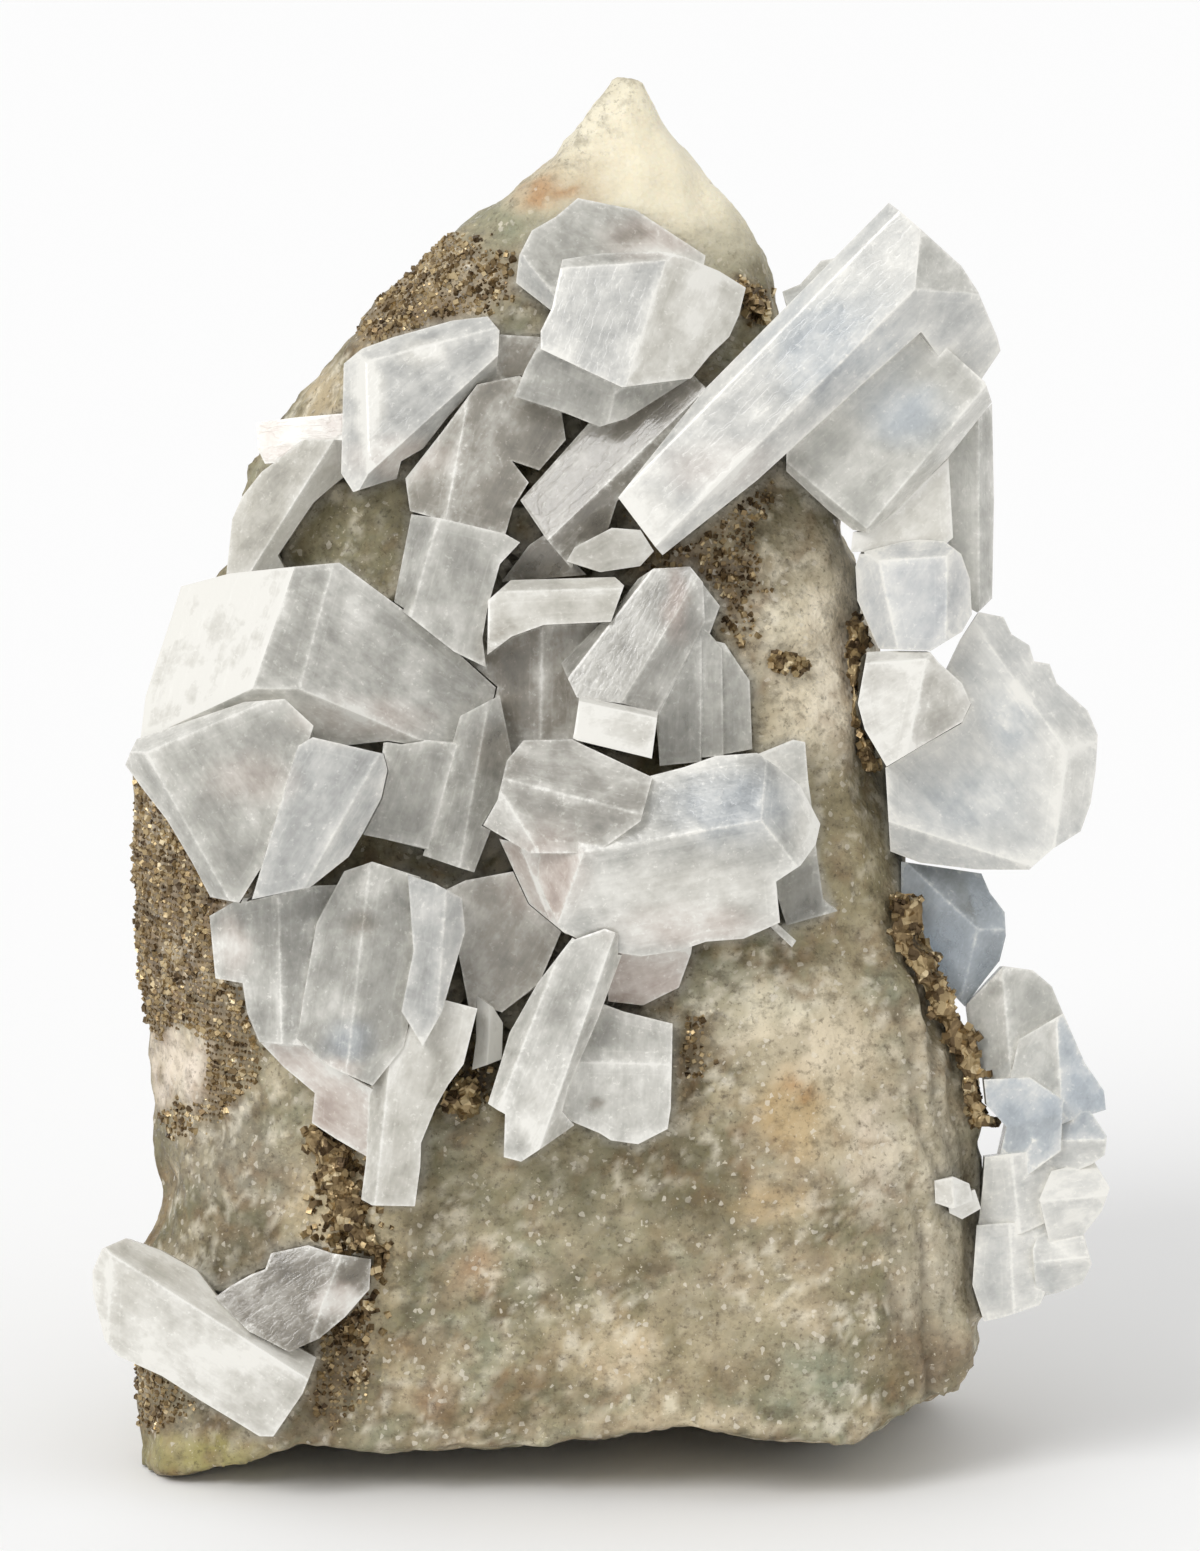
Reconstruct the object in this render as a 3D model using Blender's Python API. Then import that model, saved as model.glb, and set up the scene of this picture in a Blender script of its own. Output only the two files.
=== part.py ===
"""Blue barite on its rock with pyrite: a loose hand specimen that stands on its broken base.

Metres, +Z up, the crystal-bearing face toward -Y, the base on z = 0. Outlines are read across
the face in steps of STEP, x to the right and y downward, with the depth in millimetres toward
the viewer, so that each crystal keeps the shape that it shows.
"""

import math

import bmesh
import bpy
import numpy as np
from mathutils import Matrix, Vector, noise

for old in list(bpy.data.objects):
    bpy.data.objects.remove(old, do_unlink=True)

# Driving sizes
STEP = 0.00007
MID_X = 600
BASE_Y = 1480
MM = 0.001
LEAN = math.radians(12)
GAP = 0.0003
RING_COUNT = 34
RING_POINTS = 32
ROCK_TOP = 74
ROCK_LOW = 1515
ROCK_LUMP = 0.75
ROCK_GRAIN = 0.35
FOOT_SIZE = 0.94
DEPTH_MID = 0.0133
FACE_ROOM = 3.0
CORNER_REACH = 2.5
MERGE = 0.000002
FLAT = math.radians(0.4)
TOWARD = Vector((0, -math.cos(LEAN), math.sin(LEAN)))

# Rock: height on the face, left edge, right edge, depths at left, middle, ridge, right edge, flank out, back
ROCK_ROWS = (
    (74, 614, 640, 0, 1.2, 1.2, 0.2, 0, -3.6),
    (90, 602, 648, 0, 1.6, 1.5, 0.2, 0, -4.8),
    (112, 586, 656, 0, 2.0, 1.8, 0.2, 0, -6.0),
    (160, 540, 700, -0.5, 3.2, 2.8, 0.5, 0, -9.0),
    (215, 470, 748, -1.0, 4.4, 3.8, 1.0, 0, -12.0),
    (250, 420, 764, -1.2, 5.2, 4.6, 1.5, 0, -14.0),
    (300, 374, 778, -1.5, 6.0, 5.6, 2.0, 0, -16.0),
    (400, 292, 790, -1.5, 7.4, 8.0, 3.6, 0, -20.0),
    (480, 246, 819, -1.5, 8.2, 9.6, 5.2, 2, -22.5),
    (560, 226, 854, -1.0, 9.0, 10.6, 6.2, 12, -24.5),
    (640, 166, 858, -1.5, 9.4, 11.2, 6.4, 26, -26.5),
    (740, 128, 868, -2.0, 9.8, 11.8, 6.4, 32, -28.5),
    (860, 127, 890, -2.5, 10.0, 12.2, 6.0, 32, -30.0),
    (980, 134, 925, -2.8, 10.0, 12.4, 5.6, 30, -31.5),
    (1085, 146, 972, -2.8, 9.8, 12.4, 4.6, 22, -32.5),
    (1200, 155, 981, -2.4, 9.4, 11.8, 3.6, 12, -33.5),
    (1320, 124, 984, -1.2, 8.6, 10.6, 3.0, 2, -34.5),
    (1420, 128, 986, -0.2, 7.6, 9.4, 2.6, 0, -35.0),
    (1515, 138, 986, 0.6, 6.6, 8.2, 2.0, 0, -35.5),
)

# Flat breaks of the back and sides: direction, and distance from the middle of the base in millimetres
BREAKS = (
    ((0.10, 1.0, 0.22), 46.0),
    ((-0.62, 0.78, 0.20), 43.0),
    ((0.74, 0.66, 0.15), 35.0),
    ((-0.35, 0.85, 0.50), 64.5),
    ((0.45, 0.75, 0.50), 65.0),
)
BREAK_DEPTH = 0.9

# Lower edge of the rock, left to right
ROCK_FOOT = (
    (60, 1481),
    (150, 1481),
    (188, 1479),
    (240, 1465),
    (300, 1446),
    (390, 1452),
    (480, 1450),
    (600, 1440),
    (680, 1426),
    (760, 1438),
    (850, 1443),
    (890, 1425),
    (930, 1401),
    (960, 1390),
    (986, 1340),
    (1100, 1330),
)

# Crystals: outline, flat faces given by three points (x, y, depth in millimetres), thickness below them
LONG_PRISM = (
    (
        (
            (616, 502), (702, 394), (887, 206), (930, 244), (959, 268), (977, 294), (999, 338),
            (1003, 351), (982, 383), (946, 367), (919, 333), (868, 378), (753, 483), (659, 558),
        ),
        (
            ((712, 404, 18.2), (895, 218, 18.2), (905, 300, 18.9)),
            ((702, 394, 17.0), (887, 206, 17.0), (712, 404, 18.2)),
            ((735, 470, 18.8), (905, 300, 18.9), (753, 483, 17.2)),
            ((927, 256, 18.0), (922, 320, 18.4), (1000, 345, 14.2)),
        ),
        8.0,
    ),
    (
        (
            (785, 452), (785, 472), (828, 512), (852, 531), (868, 534), (930, 483), (946, 459),
            (991, 402), (983, 384), (925, 330), (850, 380),
        ),
        (
            ((802, 462, 13.2), (856, 514, 13.4), (925, 352, 14.2)),
            ((870, 524, 13.4), (980, 398, 13.8), (991, 402, 12.2)),
            ((790, 466, 13.1), (858, 524, 13.3), (828, 512, 12.2)),
        ),
        8.0,
    ),
    (
        ((944, 440), (965, 430), (992, 402), (993, 500), (991, 600), (977, 613), (950, 598)),
        (
            ((950, 450, 9.0), (978, 450, 9.2), (950, 600, 9.0)),
            ((978, 450, 9.2), (978, 600, 9.2), (992, 500, 7.4)),
        ),
        6.0,
    ),
    (
        ((948, 459), (868, 530), (852, 534), (850, 552), (936, 552), (952, 538)),
        (((945, 460, 11.6), (868, 534, 12.2), (935, 545, 11.4)),),
        5.0,
    ),
    (
        ((783, 293), (801, 286), (822, 262), (846, 258), (812, 300), (790, 316)),
        (((783, 293, 8.8), (801, 286, 9.4), (822, 262, 9.0)),),
        4.0,
    ),
)

MIDDLE_BLOCK = (
    (
        (
            (540, 800), (600, 784), (646, 777), (684, 767), (715, 756), (756, 753), (779, 769),
            (799, 784), (820, 823), (815, 843), (799, 864), (775, 880), (779, 922), (743, 938),
            (705, 941), (679, 950), (640, 956), (600, 950), (560, 930), (536, 880),
        ),
        (
            ((592, 850, 21.0), (715, 828, 21.3), (684, 767, 19.6)),
            ((592, 850, 21.0), (715, 828, 21.3), (743, 938, 17.4)),
            ((768, 765, 19.8), (790, 862, 20.0), (820, 823, 17.2)),
            ((560, 800, 19.8), (585, 851, 21.0), (540, 900, 17.6)),
        ),
        9.0,
    ),
    (
        (
            (508, 761), (524, 741), (572, 740), (652, 778), (640, 820), (598, 853), (531, 852),
            (484, 825), (499, 800),
        ),
        (
            ((508, 790, 20.0), (572, 795, 20.9), (560, 845, 20.4)),
            ((530, 782, 20.2), (600, 800, 21.1), (560, 740, 18.4)),
            ((508, 800, 19.9), (534, 842, 20.0), (485, 825, 18.0)),
        ),
        8.0,
    ),
    (
        ((500, 838), (560, 842), (604, 880), (610, 944), (566, 932), (530, 902)),
        (
            ((530, 852, 17.2), (590, 860, 17.6), (590, 925, 16.2)),
            ((522, 850, 17.0), (560, 925, 16.4), (505, 850, 15.6)),
        ),
        8.0,
    ),
    (
        (
            (754, 754), (792, 739), (803, 741), (806, 779), (815, 856), (822, 902), (836, 912),
            (786, 926), (772, 880),
        ),
        (((766, 762, 14.2), (794, 750, 14.4), (812, 900, 14.2)),),
        4.0,
    ),
    (
        ((746, 902), (752, 898), (794, 940), (791, 945)),
        (((746, 902, 16.6), (752, 898, 16.8), (794, 940, 16.6)),),
        4.5,
    ),
    (
        ((606, 912), (694, 930), (690, 952), (678, 986), (642, 1004), (608, 1000)),
        (((634, 944, 14.8), (676, 952, 14.2), (640, 990, 13.4)),),
        5.6,
    ),
)

LEFT_GROUP = (
    (
        (
            (180, 586), (230, 574), (298, 568), (341, 564), (388, 598), (418, 620), (462, 655),
            (500, 689), (498, 698), (477, 729), (470, 754), (390, 741), (320, 752), (240, 745),
            (140, 742), (145, 698), (153, 672), (171, 616),
        ),
        (
            ((298, 568, 17.0), (252, 700, 18.2), (139, 739, 14.6)),
            ((298, 568, 17.0), (252, 700, 18.2), (334, 570, 16.9)),
            ((334, 570, 16.9), (299, 662, 18.0), (470, 754, 13.0)),
            ((305, 690, 17.9), (400, 722, 15.6), (390, 741, 14.4)),
        ),
        9.0,
    ),
    (
        (
            (139, 739), (248, 703), (288, 700), (316, 726), (302, 800), (268, 860), (242, 902),
            (214, 897), (197, 864), (171, 820), (145, 787), (128, 764),
        ),
        (
            ((158, 767, 17.8), (252, 713, 19.2), (222, 879, 17.6)),
            ((158, 767, 17.8), (222, 879, 17.6), (171, 820, 16.4)),
            ((150, 752, 17.6), (248, 712, 19.1), (248, 703, 18.0)),
        ),
        10.0,
    ),
    (
        (
            (299, 748), (316, 738), (385, 754), (389, 769), (383, 797), (365, 831), (350, 856),
            (312, 886), (240, 902), (262, 852), (286, 800),
        ),
        (
            ((304, 756, 20.8), (378, 764, 21.0), (262, 886, 19.8)),
            ((376, 764, 21.0), (306, 880, 20.2), (383, 797, 19.2)),
            ((300, 756, 20.8), (268, 860, 20.1), (286, 800, 19.2)),
        ),
        9.0,
    ),
)

CROWN_GROUP = (
    (
        (
            (578, 200), (636, 212), (706, 258), (700, 300), (552, 312), (516, 284), (520, 257),
            (532, 233), (556, 219),
        ),
        (
            ((556, 225, 11.6), (640, 222, 11.4), (558, 298, 12.6)),
            ((522, 262, 11.7), (558, 300, 12.6), (516, 284, 10.2)),
        ),
        7.0,
    ),
    (
        (
            (562, 263), (601, 257), (666, 256), (686, 261), (719, 274), (746, 290), (739, 317),
            (729, 339), (710, 357), (690, 381), (622, 390), (541, 352), (541, 335), (552, 312),
        ),
        (
            ((572, 272, 15.8), (662, 268, 16.0), (600, 350, 17.0)),
            ((664, 268, 16.0), (640, 368, 17.1), (739, 317, 13.8)),
            ((566, 272, 15.8), (660, 266, 16.0), (601, 257, 14.8)),
        ),
        9.0,
    ),
    (
        ((541, 345), (640, 345), (690, 380), (626, 420), (600, 428), (560, 412), (515, 398), (526, 372)),
        (
            ((545, 354, 15.9), (619, 372, 16.2), (560, 410, 15.0)),
            ((619, 372, 16.2), (601, 426, 15.3), (690, 380, 13.9)),
        ),
        9.0,
    ),
    (
        (
            (520, 502), (547, 541), (571, 571), (576, 551), (606, 533), (616, 502), (706, 420),
            (712, 396), (690, 372), (600, 410), (556, 462),
        ),
        (
            ((560, 530, 13.8), (690, 405, 14.4), (556, 462, 12.4)),
            ((560, 530, 13.8), (690, 405, 14.4), (616, 502, 13.4)),
        ),
        7.0,
    ),
    (
        ((567, 562), (575, 549), (612, 530), (640, 532), (653, 552), (640, 566), (600, 572)),
        (((575, 552, 14.4), (640, 534, 14.8), (620, 568, 13.8)),),
        5.0,
    ),
    (
        (
            (478, 385), (520, 376), (562, 396), (566, 440), (540, 470), (512, 462), (528, 484),
            (512, 510), (505, 536), (440, 520), (410, 512), (405, 480), (445, 430),
        ),
        (
            ((470, 400, 11.6), (540, 400, 11.2), (500, 520, 12.6)),
            ((470, 400, 11.6), (440, 520, 12.6), (405, 480, 10.4)),
        ),
        6.0,
    ),
    (
        ((502, 582), (530, 546), (552, 530), (586, 575)),
        (((502, 582, 10.0), (530, 546, 10.6), (586, 575, 10.4)),),
        3.5,
    ),
)

UPPER_LEFT_GROUP = (
    (
        (
            (344, 364), (362, 350), (394, 338), (454, 321), (489, 317), (500, 331), (497, 380),
            (478, 384), (448, 416), (422, 449), (400, 462), (395, 480), (383, 483), (354, 493),
            (342, 475),
        ),
        (
            ((372, 362, 11.2), (480, 334, 11.0), (396, 440, 12.4)),
            ((372, 362, 11.2), (480, 334, 11.0), (454, 321, 9.8)),
            ((486, 368, 11.4), (392, 456, 12.4), (448, 416, 10.8)),
            ((366, 372, 11.3), (364, 470, 12.4), (342, 440, 10.4)),
        ),
        8.0,
    ),
    (
        ((256, 423), (296, 418), (360, 412), (366, 450), (300, 468), (265, 463), (258, 449)),
        (((266, 430, 6.8), (340, 422, 7.6), (272, 456, 7.2)),),
        5.0,
    ),
    (
        (
            (370, 440), (352, 470), (342, 476), (313, 501), (300, 520), (276, 556), (286, 576),
            (226, 576), (232, 520), (242, 497), (262, 472), (306, 440),
        ),
        (
            ((325, 455, 9.4), (258, 560, 8.8), (242, 497, 7.4)),
            ((325, 455, 9.4), (258, 560, 8.8), (313, 501, 8.2)),
        ),
        6.0,
    ),
    (
        ((478, 345), (500, 336), (541, 338), (545, 400), (504, 408), (474, 394)),
        (((490, 348, 10.2), (532, 348, 9.8), (500, 392, 9.8)),),
        5.0,
    ),
)

CENTRE_GROUP = (
    (
        (
            (412, 515), (440, 520), (505, 535), (520, 543), (500, 564), (487, 610), (482, 640),
            (486, 668), (455, 652), (412, 618), (395, 605),
        ),
        (
            ((440, 520, 15.4), (412, 618, 15.8), (505, 536, 14.4)),
            ((440, 520, 15.4), (412, 618, 15.8), (395, 605, 14.0)),
        ),
        9.0,
    ),
    (
        ((489, 602), (511, 582), (616, 579), (624, 587), (611, 622), (544, 625), (511, 637), (488, 655)),
        (
            ((500, 594, 15.2), (612, 590, 15.2), (540, 620, 15.8)),
            ((500, 594, 15.2), (612, 590, 15.2), (560, 579, 13.8)),
        ),
        6.0,
    ),
    (
        ((468, 610), (600, 600), (596, 690), (580, 764), (470, 764), (464, 690)),
        (
            ((542, 620, 12.9), (540, 760, 12.5), (470, 690, 11.6)),
            ((542, 620, 12.9), (540, 760, 12.5), (596, 700, 12.0)),
        ),
        5.0,
    ),
    (
        (
            (639, 580), (654, 570), (690, 568), (702, 583), (704, 622), (658, 716), (623, 704),
            (577, 698), (561, 665), (600, 626),
        ),
        (
            ((642, 588, 15.2), (690, 590, 15.6), (600, 690, 16.2)),
            ((690, 590, 15.6), (630, 702, 16.2), (704, 622, 14.6)),
            ((640, 588, 15.2), (575, 672, 15.8), (600, 626, 14.4)),
        ),
        7.0,
    ),
    (
        ((668, 640), (700, 596), (700, 762), (660, 766), (656, 712)),
        (((672, 650, 14.8), (698, 640, 14.4), (676, 756, 14.6)),),
        6.0,
    ),
    (
        ((692, 590), (701, 584), (718, 606), (708, 634), (720, 650), (722, 757), (692, 760)),
        (((694, 600, 14.2), (716, 606, 13.6), (700, 752, 14.0)),),
        6.0,
    ),
    (
        ((704, 640), (723, 644), (735, 662), (748, 681), (751, 750), (714, 757)),
        (((714, 650, 13.4), (735, 662, 12.8), (720, 750, 13.0)),),
        5.0,
    ),
    (
        ((580, 698), (657, 713), (651, 758), (574, 739)),
        (
            ((586, 704, 17.6), (650, 718, 17.8), (582, 734, 18.2)),
            ((586, 704, 17.6), (650, 718, 17.8), (620, 704, 16.4)),
        ),
        7.0,
    ),
    (
        ((386, 735), (474, 745), (456, 856), (384, 838), (362, 834), (380, 796)),
        (((396, 750, 14.4), (462, 762, 14.6), (400, 830, 14.0)),),
        6.0,
    ),
    (
        ((462, 716), (500, 696), (512, 756), (500, 806), (474, 872), (424, 856), (444, 776)),
        (
            ((488, 712, 15.6), (462, 860, 15.2), (430, 840, 14.0)),
            ((488, 712, 15.6), (462, 860, 15.2), (510, 770, 14.2)),
        ),
        7.0,
    ),
)

LOWER_GROUP = (
    (
        (
            (211, 915), (240, 899), (300, 886), (352, 884), (335, 960), (305, 1044), (262, 1041),
            (250, 1012), (245, 982), (217, 977),
        ),
        (
            ((281, 892, 15.2), (284, 1030, 15.0), (217, 940, 12.8)),
            ((281, 892, 15.2), (284, 1030, 15.0), (340, 900, 14.6)),
        ),
        8.0,
    ),
    (
        (
            (347, 870), (374, 861), (422, 876), (430, 960), (404, 1046), (374, 1084), (330, 1064),
            (299, 1038), (307, 989), (319, 922),
        ),
        (
            ((372, 866, 17.2), (350, 1060, 16.6), (310, 989, 15.2)),
            ((372, 866, 17.2), (350, 1060, 16.6), (425, 900, 16.4)),
        ),
        9.0,
    ),
    (
        (
            (410, 874), (436, 883), (462, 897), (465, 930), (442, 1010), (424, 1044), (404, 1010),
            (416, 950),
        ),
        (
            ((425, 890, 17.6), (456, 905, 17.4), (425, 1010, 17.4)),
            ((446, 890, 17.5), (436, 1010, 17.4), (465, 930, 16.4)),
        ),
        8.0,
    ),
    (
        (
            (372, 1080), (404, 1036), (428, 992), (478, 1006), (464, 1061), (449, 1081), (436, 1104),
            (421, 1141), (420, 1166), (415, 1204), (374, 1203), (363, 1198), (368, 1161),
        ),
        (
            ((384, 1084, 15.8), (462, 1014, 15.6), (404, 1192, 15.6)),
            ((388, 1080, 15.8), (376, 1196, 15.6), (366, 1160, 14.6)),
        ),
        7.0,
    ),
    (
        (
            (262, 1041), (300, 1030), (342, 1070), (388, 1094), (372, 1157), (339, 1138), (314, 1122),
            (317, 1091), (285, 1064),
        ),
        (((290, 1048, 13.0), (340, 1090, 13.6), (350, 1140, 12.6)),),
        5.0,
    ),
    (
        (
            (445, 890), (466, 880), (528, 868), (562, 930), (542, 984), (502, 1012), (470, 1010),
            (452, 930),
        ),
        (((474, 890, 13.4), (530, 890, 13.2), (500, 996, 12.4)),),
        5.0,
    ),
    (
        ((478, 995), (492, 1006), (502, 1022), (501, 1058), (473, 1069), (478, 1040)),
        (
            ((490, 1006, 13.6), (488, 1062, 13.2), (476, 1045, 12.2)),
            ((490, 1006, 13.6), (488, 1062, 13.2), (502, 1040, 12.4)),
        ),
        4.0,
    ),
    (
        (
            (581, 926), (602, 926), (628, 935), (617, 964), (598, 1014), (567, 1086), (561, 1110),
            (573, 1125), (521, 1159), (505, 1155), (506, 1112), (489, 1102), (500, 1068), (511, 1031),
            (540, 980),
        ),
        (
            ((584, 934, 18.4), (612, 944, 18.6), (520, 1100, 17.8)),
            ((610, 944, 18.6), (568, 1066, 18.1), (617, 964, 17.2)),
            ((560, 950, 18.1), (502, 1098, 17.6), (500, 1068, 16.6)),
        ),
        8.3,
    ),
    (
        (
            (602, 1002), (623, 1010), (672, 1022), (670, 1106), (667, 1127), (638, 1142), (611, 1138),
            (600, 1131), (556, 1116), (556, 1060),
        ),
        (
            ((600, 1060, 15.6), (668, 1062, 15.4), (623, 1012, 14.6)),
            ((600, 1060, 15.6), (668, 1062, 15.4), (638, 1140, 14.4)),
        ),
        7.0,
    ),
)

RIGHT_UPPER_CRYSTAL = (
    (
        (
            (861, 548), (919, 541), (943, 543), (959, 555), (968, 580), (970, 615), (960, 632),
            (929, 651), (878, 649), (857, 601), (855, 567),
        ),
        (
            ((878, 562, 13.2), (938, 558, 13.4), (930, 625, 13.6)),
            ((878, 562, 13.2), (892, 634, 13.4), (857, 600, 11.6)),
            ((878, 562, 13.2), (938, 558, 13.4), (919, 541, 12.0)),
            ((946, 566, 13.4), (946, 620, 13.5), (970, 600, 11.8)),
        ),
        9.0,
    ),
)

RIGHT_MIDDLE_CRYSTAL = (
    (
        (
            (866, 653), (926, 651), (936, 663), (960, 684), (969, 704), (960, 722), (923, 743),
            (885, 766), (864, 730), (857, 704),
        ),
        (
            ((872, 664, 14.2), (925, 660, 14.2), (885, 748, 14.6)),
            ((925, 660, 14.2), (910, 738, 14.5), (969, 704, 12.6)),
            ((872, 664, 14.2), (925, 660, 14.2), (900, 651, 13.0)),
        ),
        9.0,
    ),
)

RIGHT_BLOCK = (
    (
        (
            (930, 706), (945, 672), (960, 640), (978, 613), (1002, 617), (1010, 634), (1028, 645),
            (1033, 661), (1049, 664), (1056, 683), (1088, 711), (1098, 735), (1096, 770), (1091, 804),
            (1081, 832), (1053, 849), (1029, 870), (978, 870), (919, 863), (890, 852), (885, 766),
        ),
        (
            ((893, 800, 9.2), (975, 650, 9.8), (1060, 800, 8.2)),
            ((892, 821, 9.1), (988, 842, 8.8), (978, 870, 7.2)),
            ((990, 640, 9.6), (1078, 750, 8.0), (1047, 663, 7.6)),
            ((1078, 745, 8.0), (1058, 838, 7.8), (1096, 790, 6.4)),
        ),
        15.0,
    ),
)

DARK_CRYSTAL = (
    (
        (
            (902, 862), (982, 874), (990, 893), (1005, 913), (1006, 936), (1000, 961), (985, 980),
            (966, 1007), (944, 983), (921, 945), (903, 923),
        ),
        (
            ((925, 880, 5.6), (978, 930, 5.8), (930, 950, 4.6)),
            ((925, 880, 5.6), (978, 930, 5.8), (1000, 905, 4.4)),
            ((978, 930, 5.8), (955, 985, 5.0), (1000, 961, 4.4)),
        ),
        11.0,
    ),
)

KNOBBY_GROUP = (
    (
        (
            (968, 1006), (1004, 967), (1033, 971), (1052, 987), (1064, 1015), (1058, 1050), (1020, 1084),
            (985, 1082), (972, 1040),
        ),
        (
            ((1004, 975, 6.4), (1014, 1078, 6.0), (970, 1030, 4.2)),
            ((1004, 975, 6.4), (1014, 1078, 6.0), (1063, 1015, 4.6)),
        ),
        11.0,
    ),
    (
        (
            (1020, 1040), (1063, 1014), (1084, 1063), (1104, 1092), (1106, 1110), (1090, 1116),
            (1040, 1130), (1006, 1100),
        ),
        (
            ((1058, 1030, 7.4), (1060, 1118, 7.8), (1100, 1092, 6.2)),
            ((1058, 1030, 7.4), (1060, 1118, 7.8), (1010, 1090, 6.4)),
        ),
        11.0,
    ),
    (
        (
            (985, 1080), (1030, 1078), (1062, 1100), (1060, 1150), (1020, 1182), (1000, 1162),
            (1008, 1127), (988, 1105),
        ),
        (((1000, 1092, 7.0), (1052, 1110, 8.6), (1018, 1170, 7.2)),),
        11.0,
    ),
    (
        (
            (1036, 1112), (1090, 1112), (1106, 1137), (1104, 1154), (1092, 1163), (1060, 1182),
            (1030, 1160),
        ),
        (
            ((1044, 1140, 8.0), (1100, 1140, 8.4), (1066, 1114, 7.0)),
            ((1044, 1140, 8.0), (1100, 1140, 8.4), (1062, 1180, 6.8)),
        ),
        11.0,
    ),
    (
        ((986, 1158), (1040, 1150), (1072, 1165), (1066, 1215), (1010, 1238), (979, 1232), (984, 1190)),
        (
            ((1012, 1160, 7.8), (1020, 1230, 7.4), (982, 1200, 6.0)),
            ((1012, 1160, 7.8), (1020, 1230, 7.4), (1068, 1190, 6.8)),
        ),
        10.0,
    ),
    (
        (
            (1052, 1172), (1092, 1158), (1109, 1188), (1101, 1211), (1082, 1236), (1050, 1242),
            (1040, 1200),
        ),
        (
            ((1060, 1200, 8.4), (1104, 1196, 8.0), (1082, 1162, 7.0)),
            ((1060, 1200, 8.4), (1104, 1196, 8.0), (1066, 1238, 7.0)),
        ),
        10.0,
    ),
    (
        ((978, 1226), (1050, 1220), (1062, 1260), (1040, 1305), (1001, 1318), (985, 1322), (974, 1286)),
        (
            ((1010, 1226, 7.4), (1014, 1312, 6.8), (976, 1280, 5.6)),
            ((1010, 1226, 7.4), (1014, 1312, 6.8), (1056, 1260, 6.4)),
        ),
        9.0,
    ),
    (
        (
            (1040, 1224), (1082, 1230), (1091, 1264), (1082, 1283), (1059, 1292), (1036, 1298),
            (1034, 1250),
        ),
        (
            ((1042, 1262, 7.6), (1088, 1258, 7.6), (1060, 1228, 6.6)),
            ((1042, 1262, 7.6), (1088, 1258, 7.6), (1058, 1290, 6.4)),
        ),
        9.0,
    ),
)

CORNER_PAIR = (
    (
        (
            (124, 1237), (102, 1247), (92, 1269), (92, 1290), (104, 1339), (117, 1355), (162, 1375),
            (202, 1400), (239, 1422), (262, 1436), (275, 1436), (304, 1392), (318, 1358), (296, 1345),
            (240, 1310), (215, 1294), (196, 1270), (158, 1249),
        ),
        (
            ((120, 1258, 10.2), (300, 1372, 11.4), (215, 1294, 8.8)),
            ((120, 1258, 10.2), (300, 1372, 11.4), (180, 1385, 9.2)),
            ((112, 1262, 10.0), (128, 1345, 9.6), (92, 1290, 8.6)),
        ),
        7.0,
    ),
    (
        (
            (215, 1297), (231, 1286), (251, 1275), (266, 1269), (272, 1253), (309, 1245), (333, 1253),
            (372, 1259), (370, 1288), (345, 1316), (319, 1337), (290, 1350), (250, 1330),
        ),
        (
            ((240, 1290, 10.0), (300, 1256, 10.0), (310, 1325, 11.0)),
            ((330, 1284, 10.6), (318, 1330, 10.9), (370, 1288, 9.2)),
        ),
        6.0,
    ),
)

FLANK_CRYSTALS = (
    (
        ((935, 1181), (952, 1177), (968, 1184), (972, 1200), (952, 1207), (936, 1202)),
        (
            ((952, 1180, 9.9), (954, 1204, 9.7), (937, 1190, 9.0)),
            ((952, 1180, 9.9), (954, 1204, 9.7), (971, 1194, 8.8)),
        ),
        3.5,
    ),
    (
        ((948, 1194), (974, 1190), (980, 1208), (962, 1218), (950, 1212)),
        (((955, 1198, 8.8), (974, 1198, 8.4), (962, 1216, 8.0)),),
        3.0,
    ),
)

# Pyrite: how far each crust runs over the rock, and the sizes of its cubes in millimetres
UPPER_SEAM = ((864, 632), (858, 652), (857, 672), (859, 692), (862, 712), (866, 734), (871, 756))
LOWER_SEAM = (
    (900, 912), (904, 938), (914, 962), (930, 986), (942, 1010), (954, 1036), (967, 1060), (977, 1086),
    (980, 1114),
)
SEAM_CUBE = (1.6, 2.3)
LOWER_CUBE = (2.0, 2.8)
BAND_ROWS = ((318, 1136), (334, 1156), (330, 1178), (350, 1198), (346, 1220), (364, 1240), (372, 1260))
BAND_CUBE = (1.8, 2.4)
NODULE_SPOTS = ((456, 1096), (466, 1106), (464, 1090))
NODULE_CUBE = (1.2, 1.8)
SPOT_SPOTS = ((777, 664), (787, 661), (796, 665))
SPOT_CUBE = (0.8, 1.2)
EDGE_SPOTS = ((744, 294), (754, 300), (763, 308))
EDGE_CUBE = (0.9, 1.3)
CUBE_RISE = (0.3, 0.6)
CUBE_STRAY = 3


def place(x, y, depth):
    """A point of the face, in world metres, from its outline steps and its depth in millimetres."""
    u = (x - MID_X) * STEP
    v = (BASE_Y - y) * STEP
    w = depth * MM
    return Vector((u, v * math.sin(LEAN) - w * math.cos(LEAN), v * math.cos(LEAN) + w * math.sin(LEAN)))


def rock_row(y):
    """Measures of the rock at one height, between the rows that drive it."""
    heights = [row[0] for row in ROCK_ROWS]
    return [float(np.interp(y, heights, [row[i] for row in ROCK_ROWS])) for i in range(1, 9)]


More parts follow.
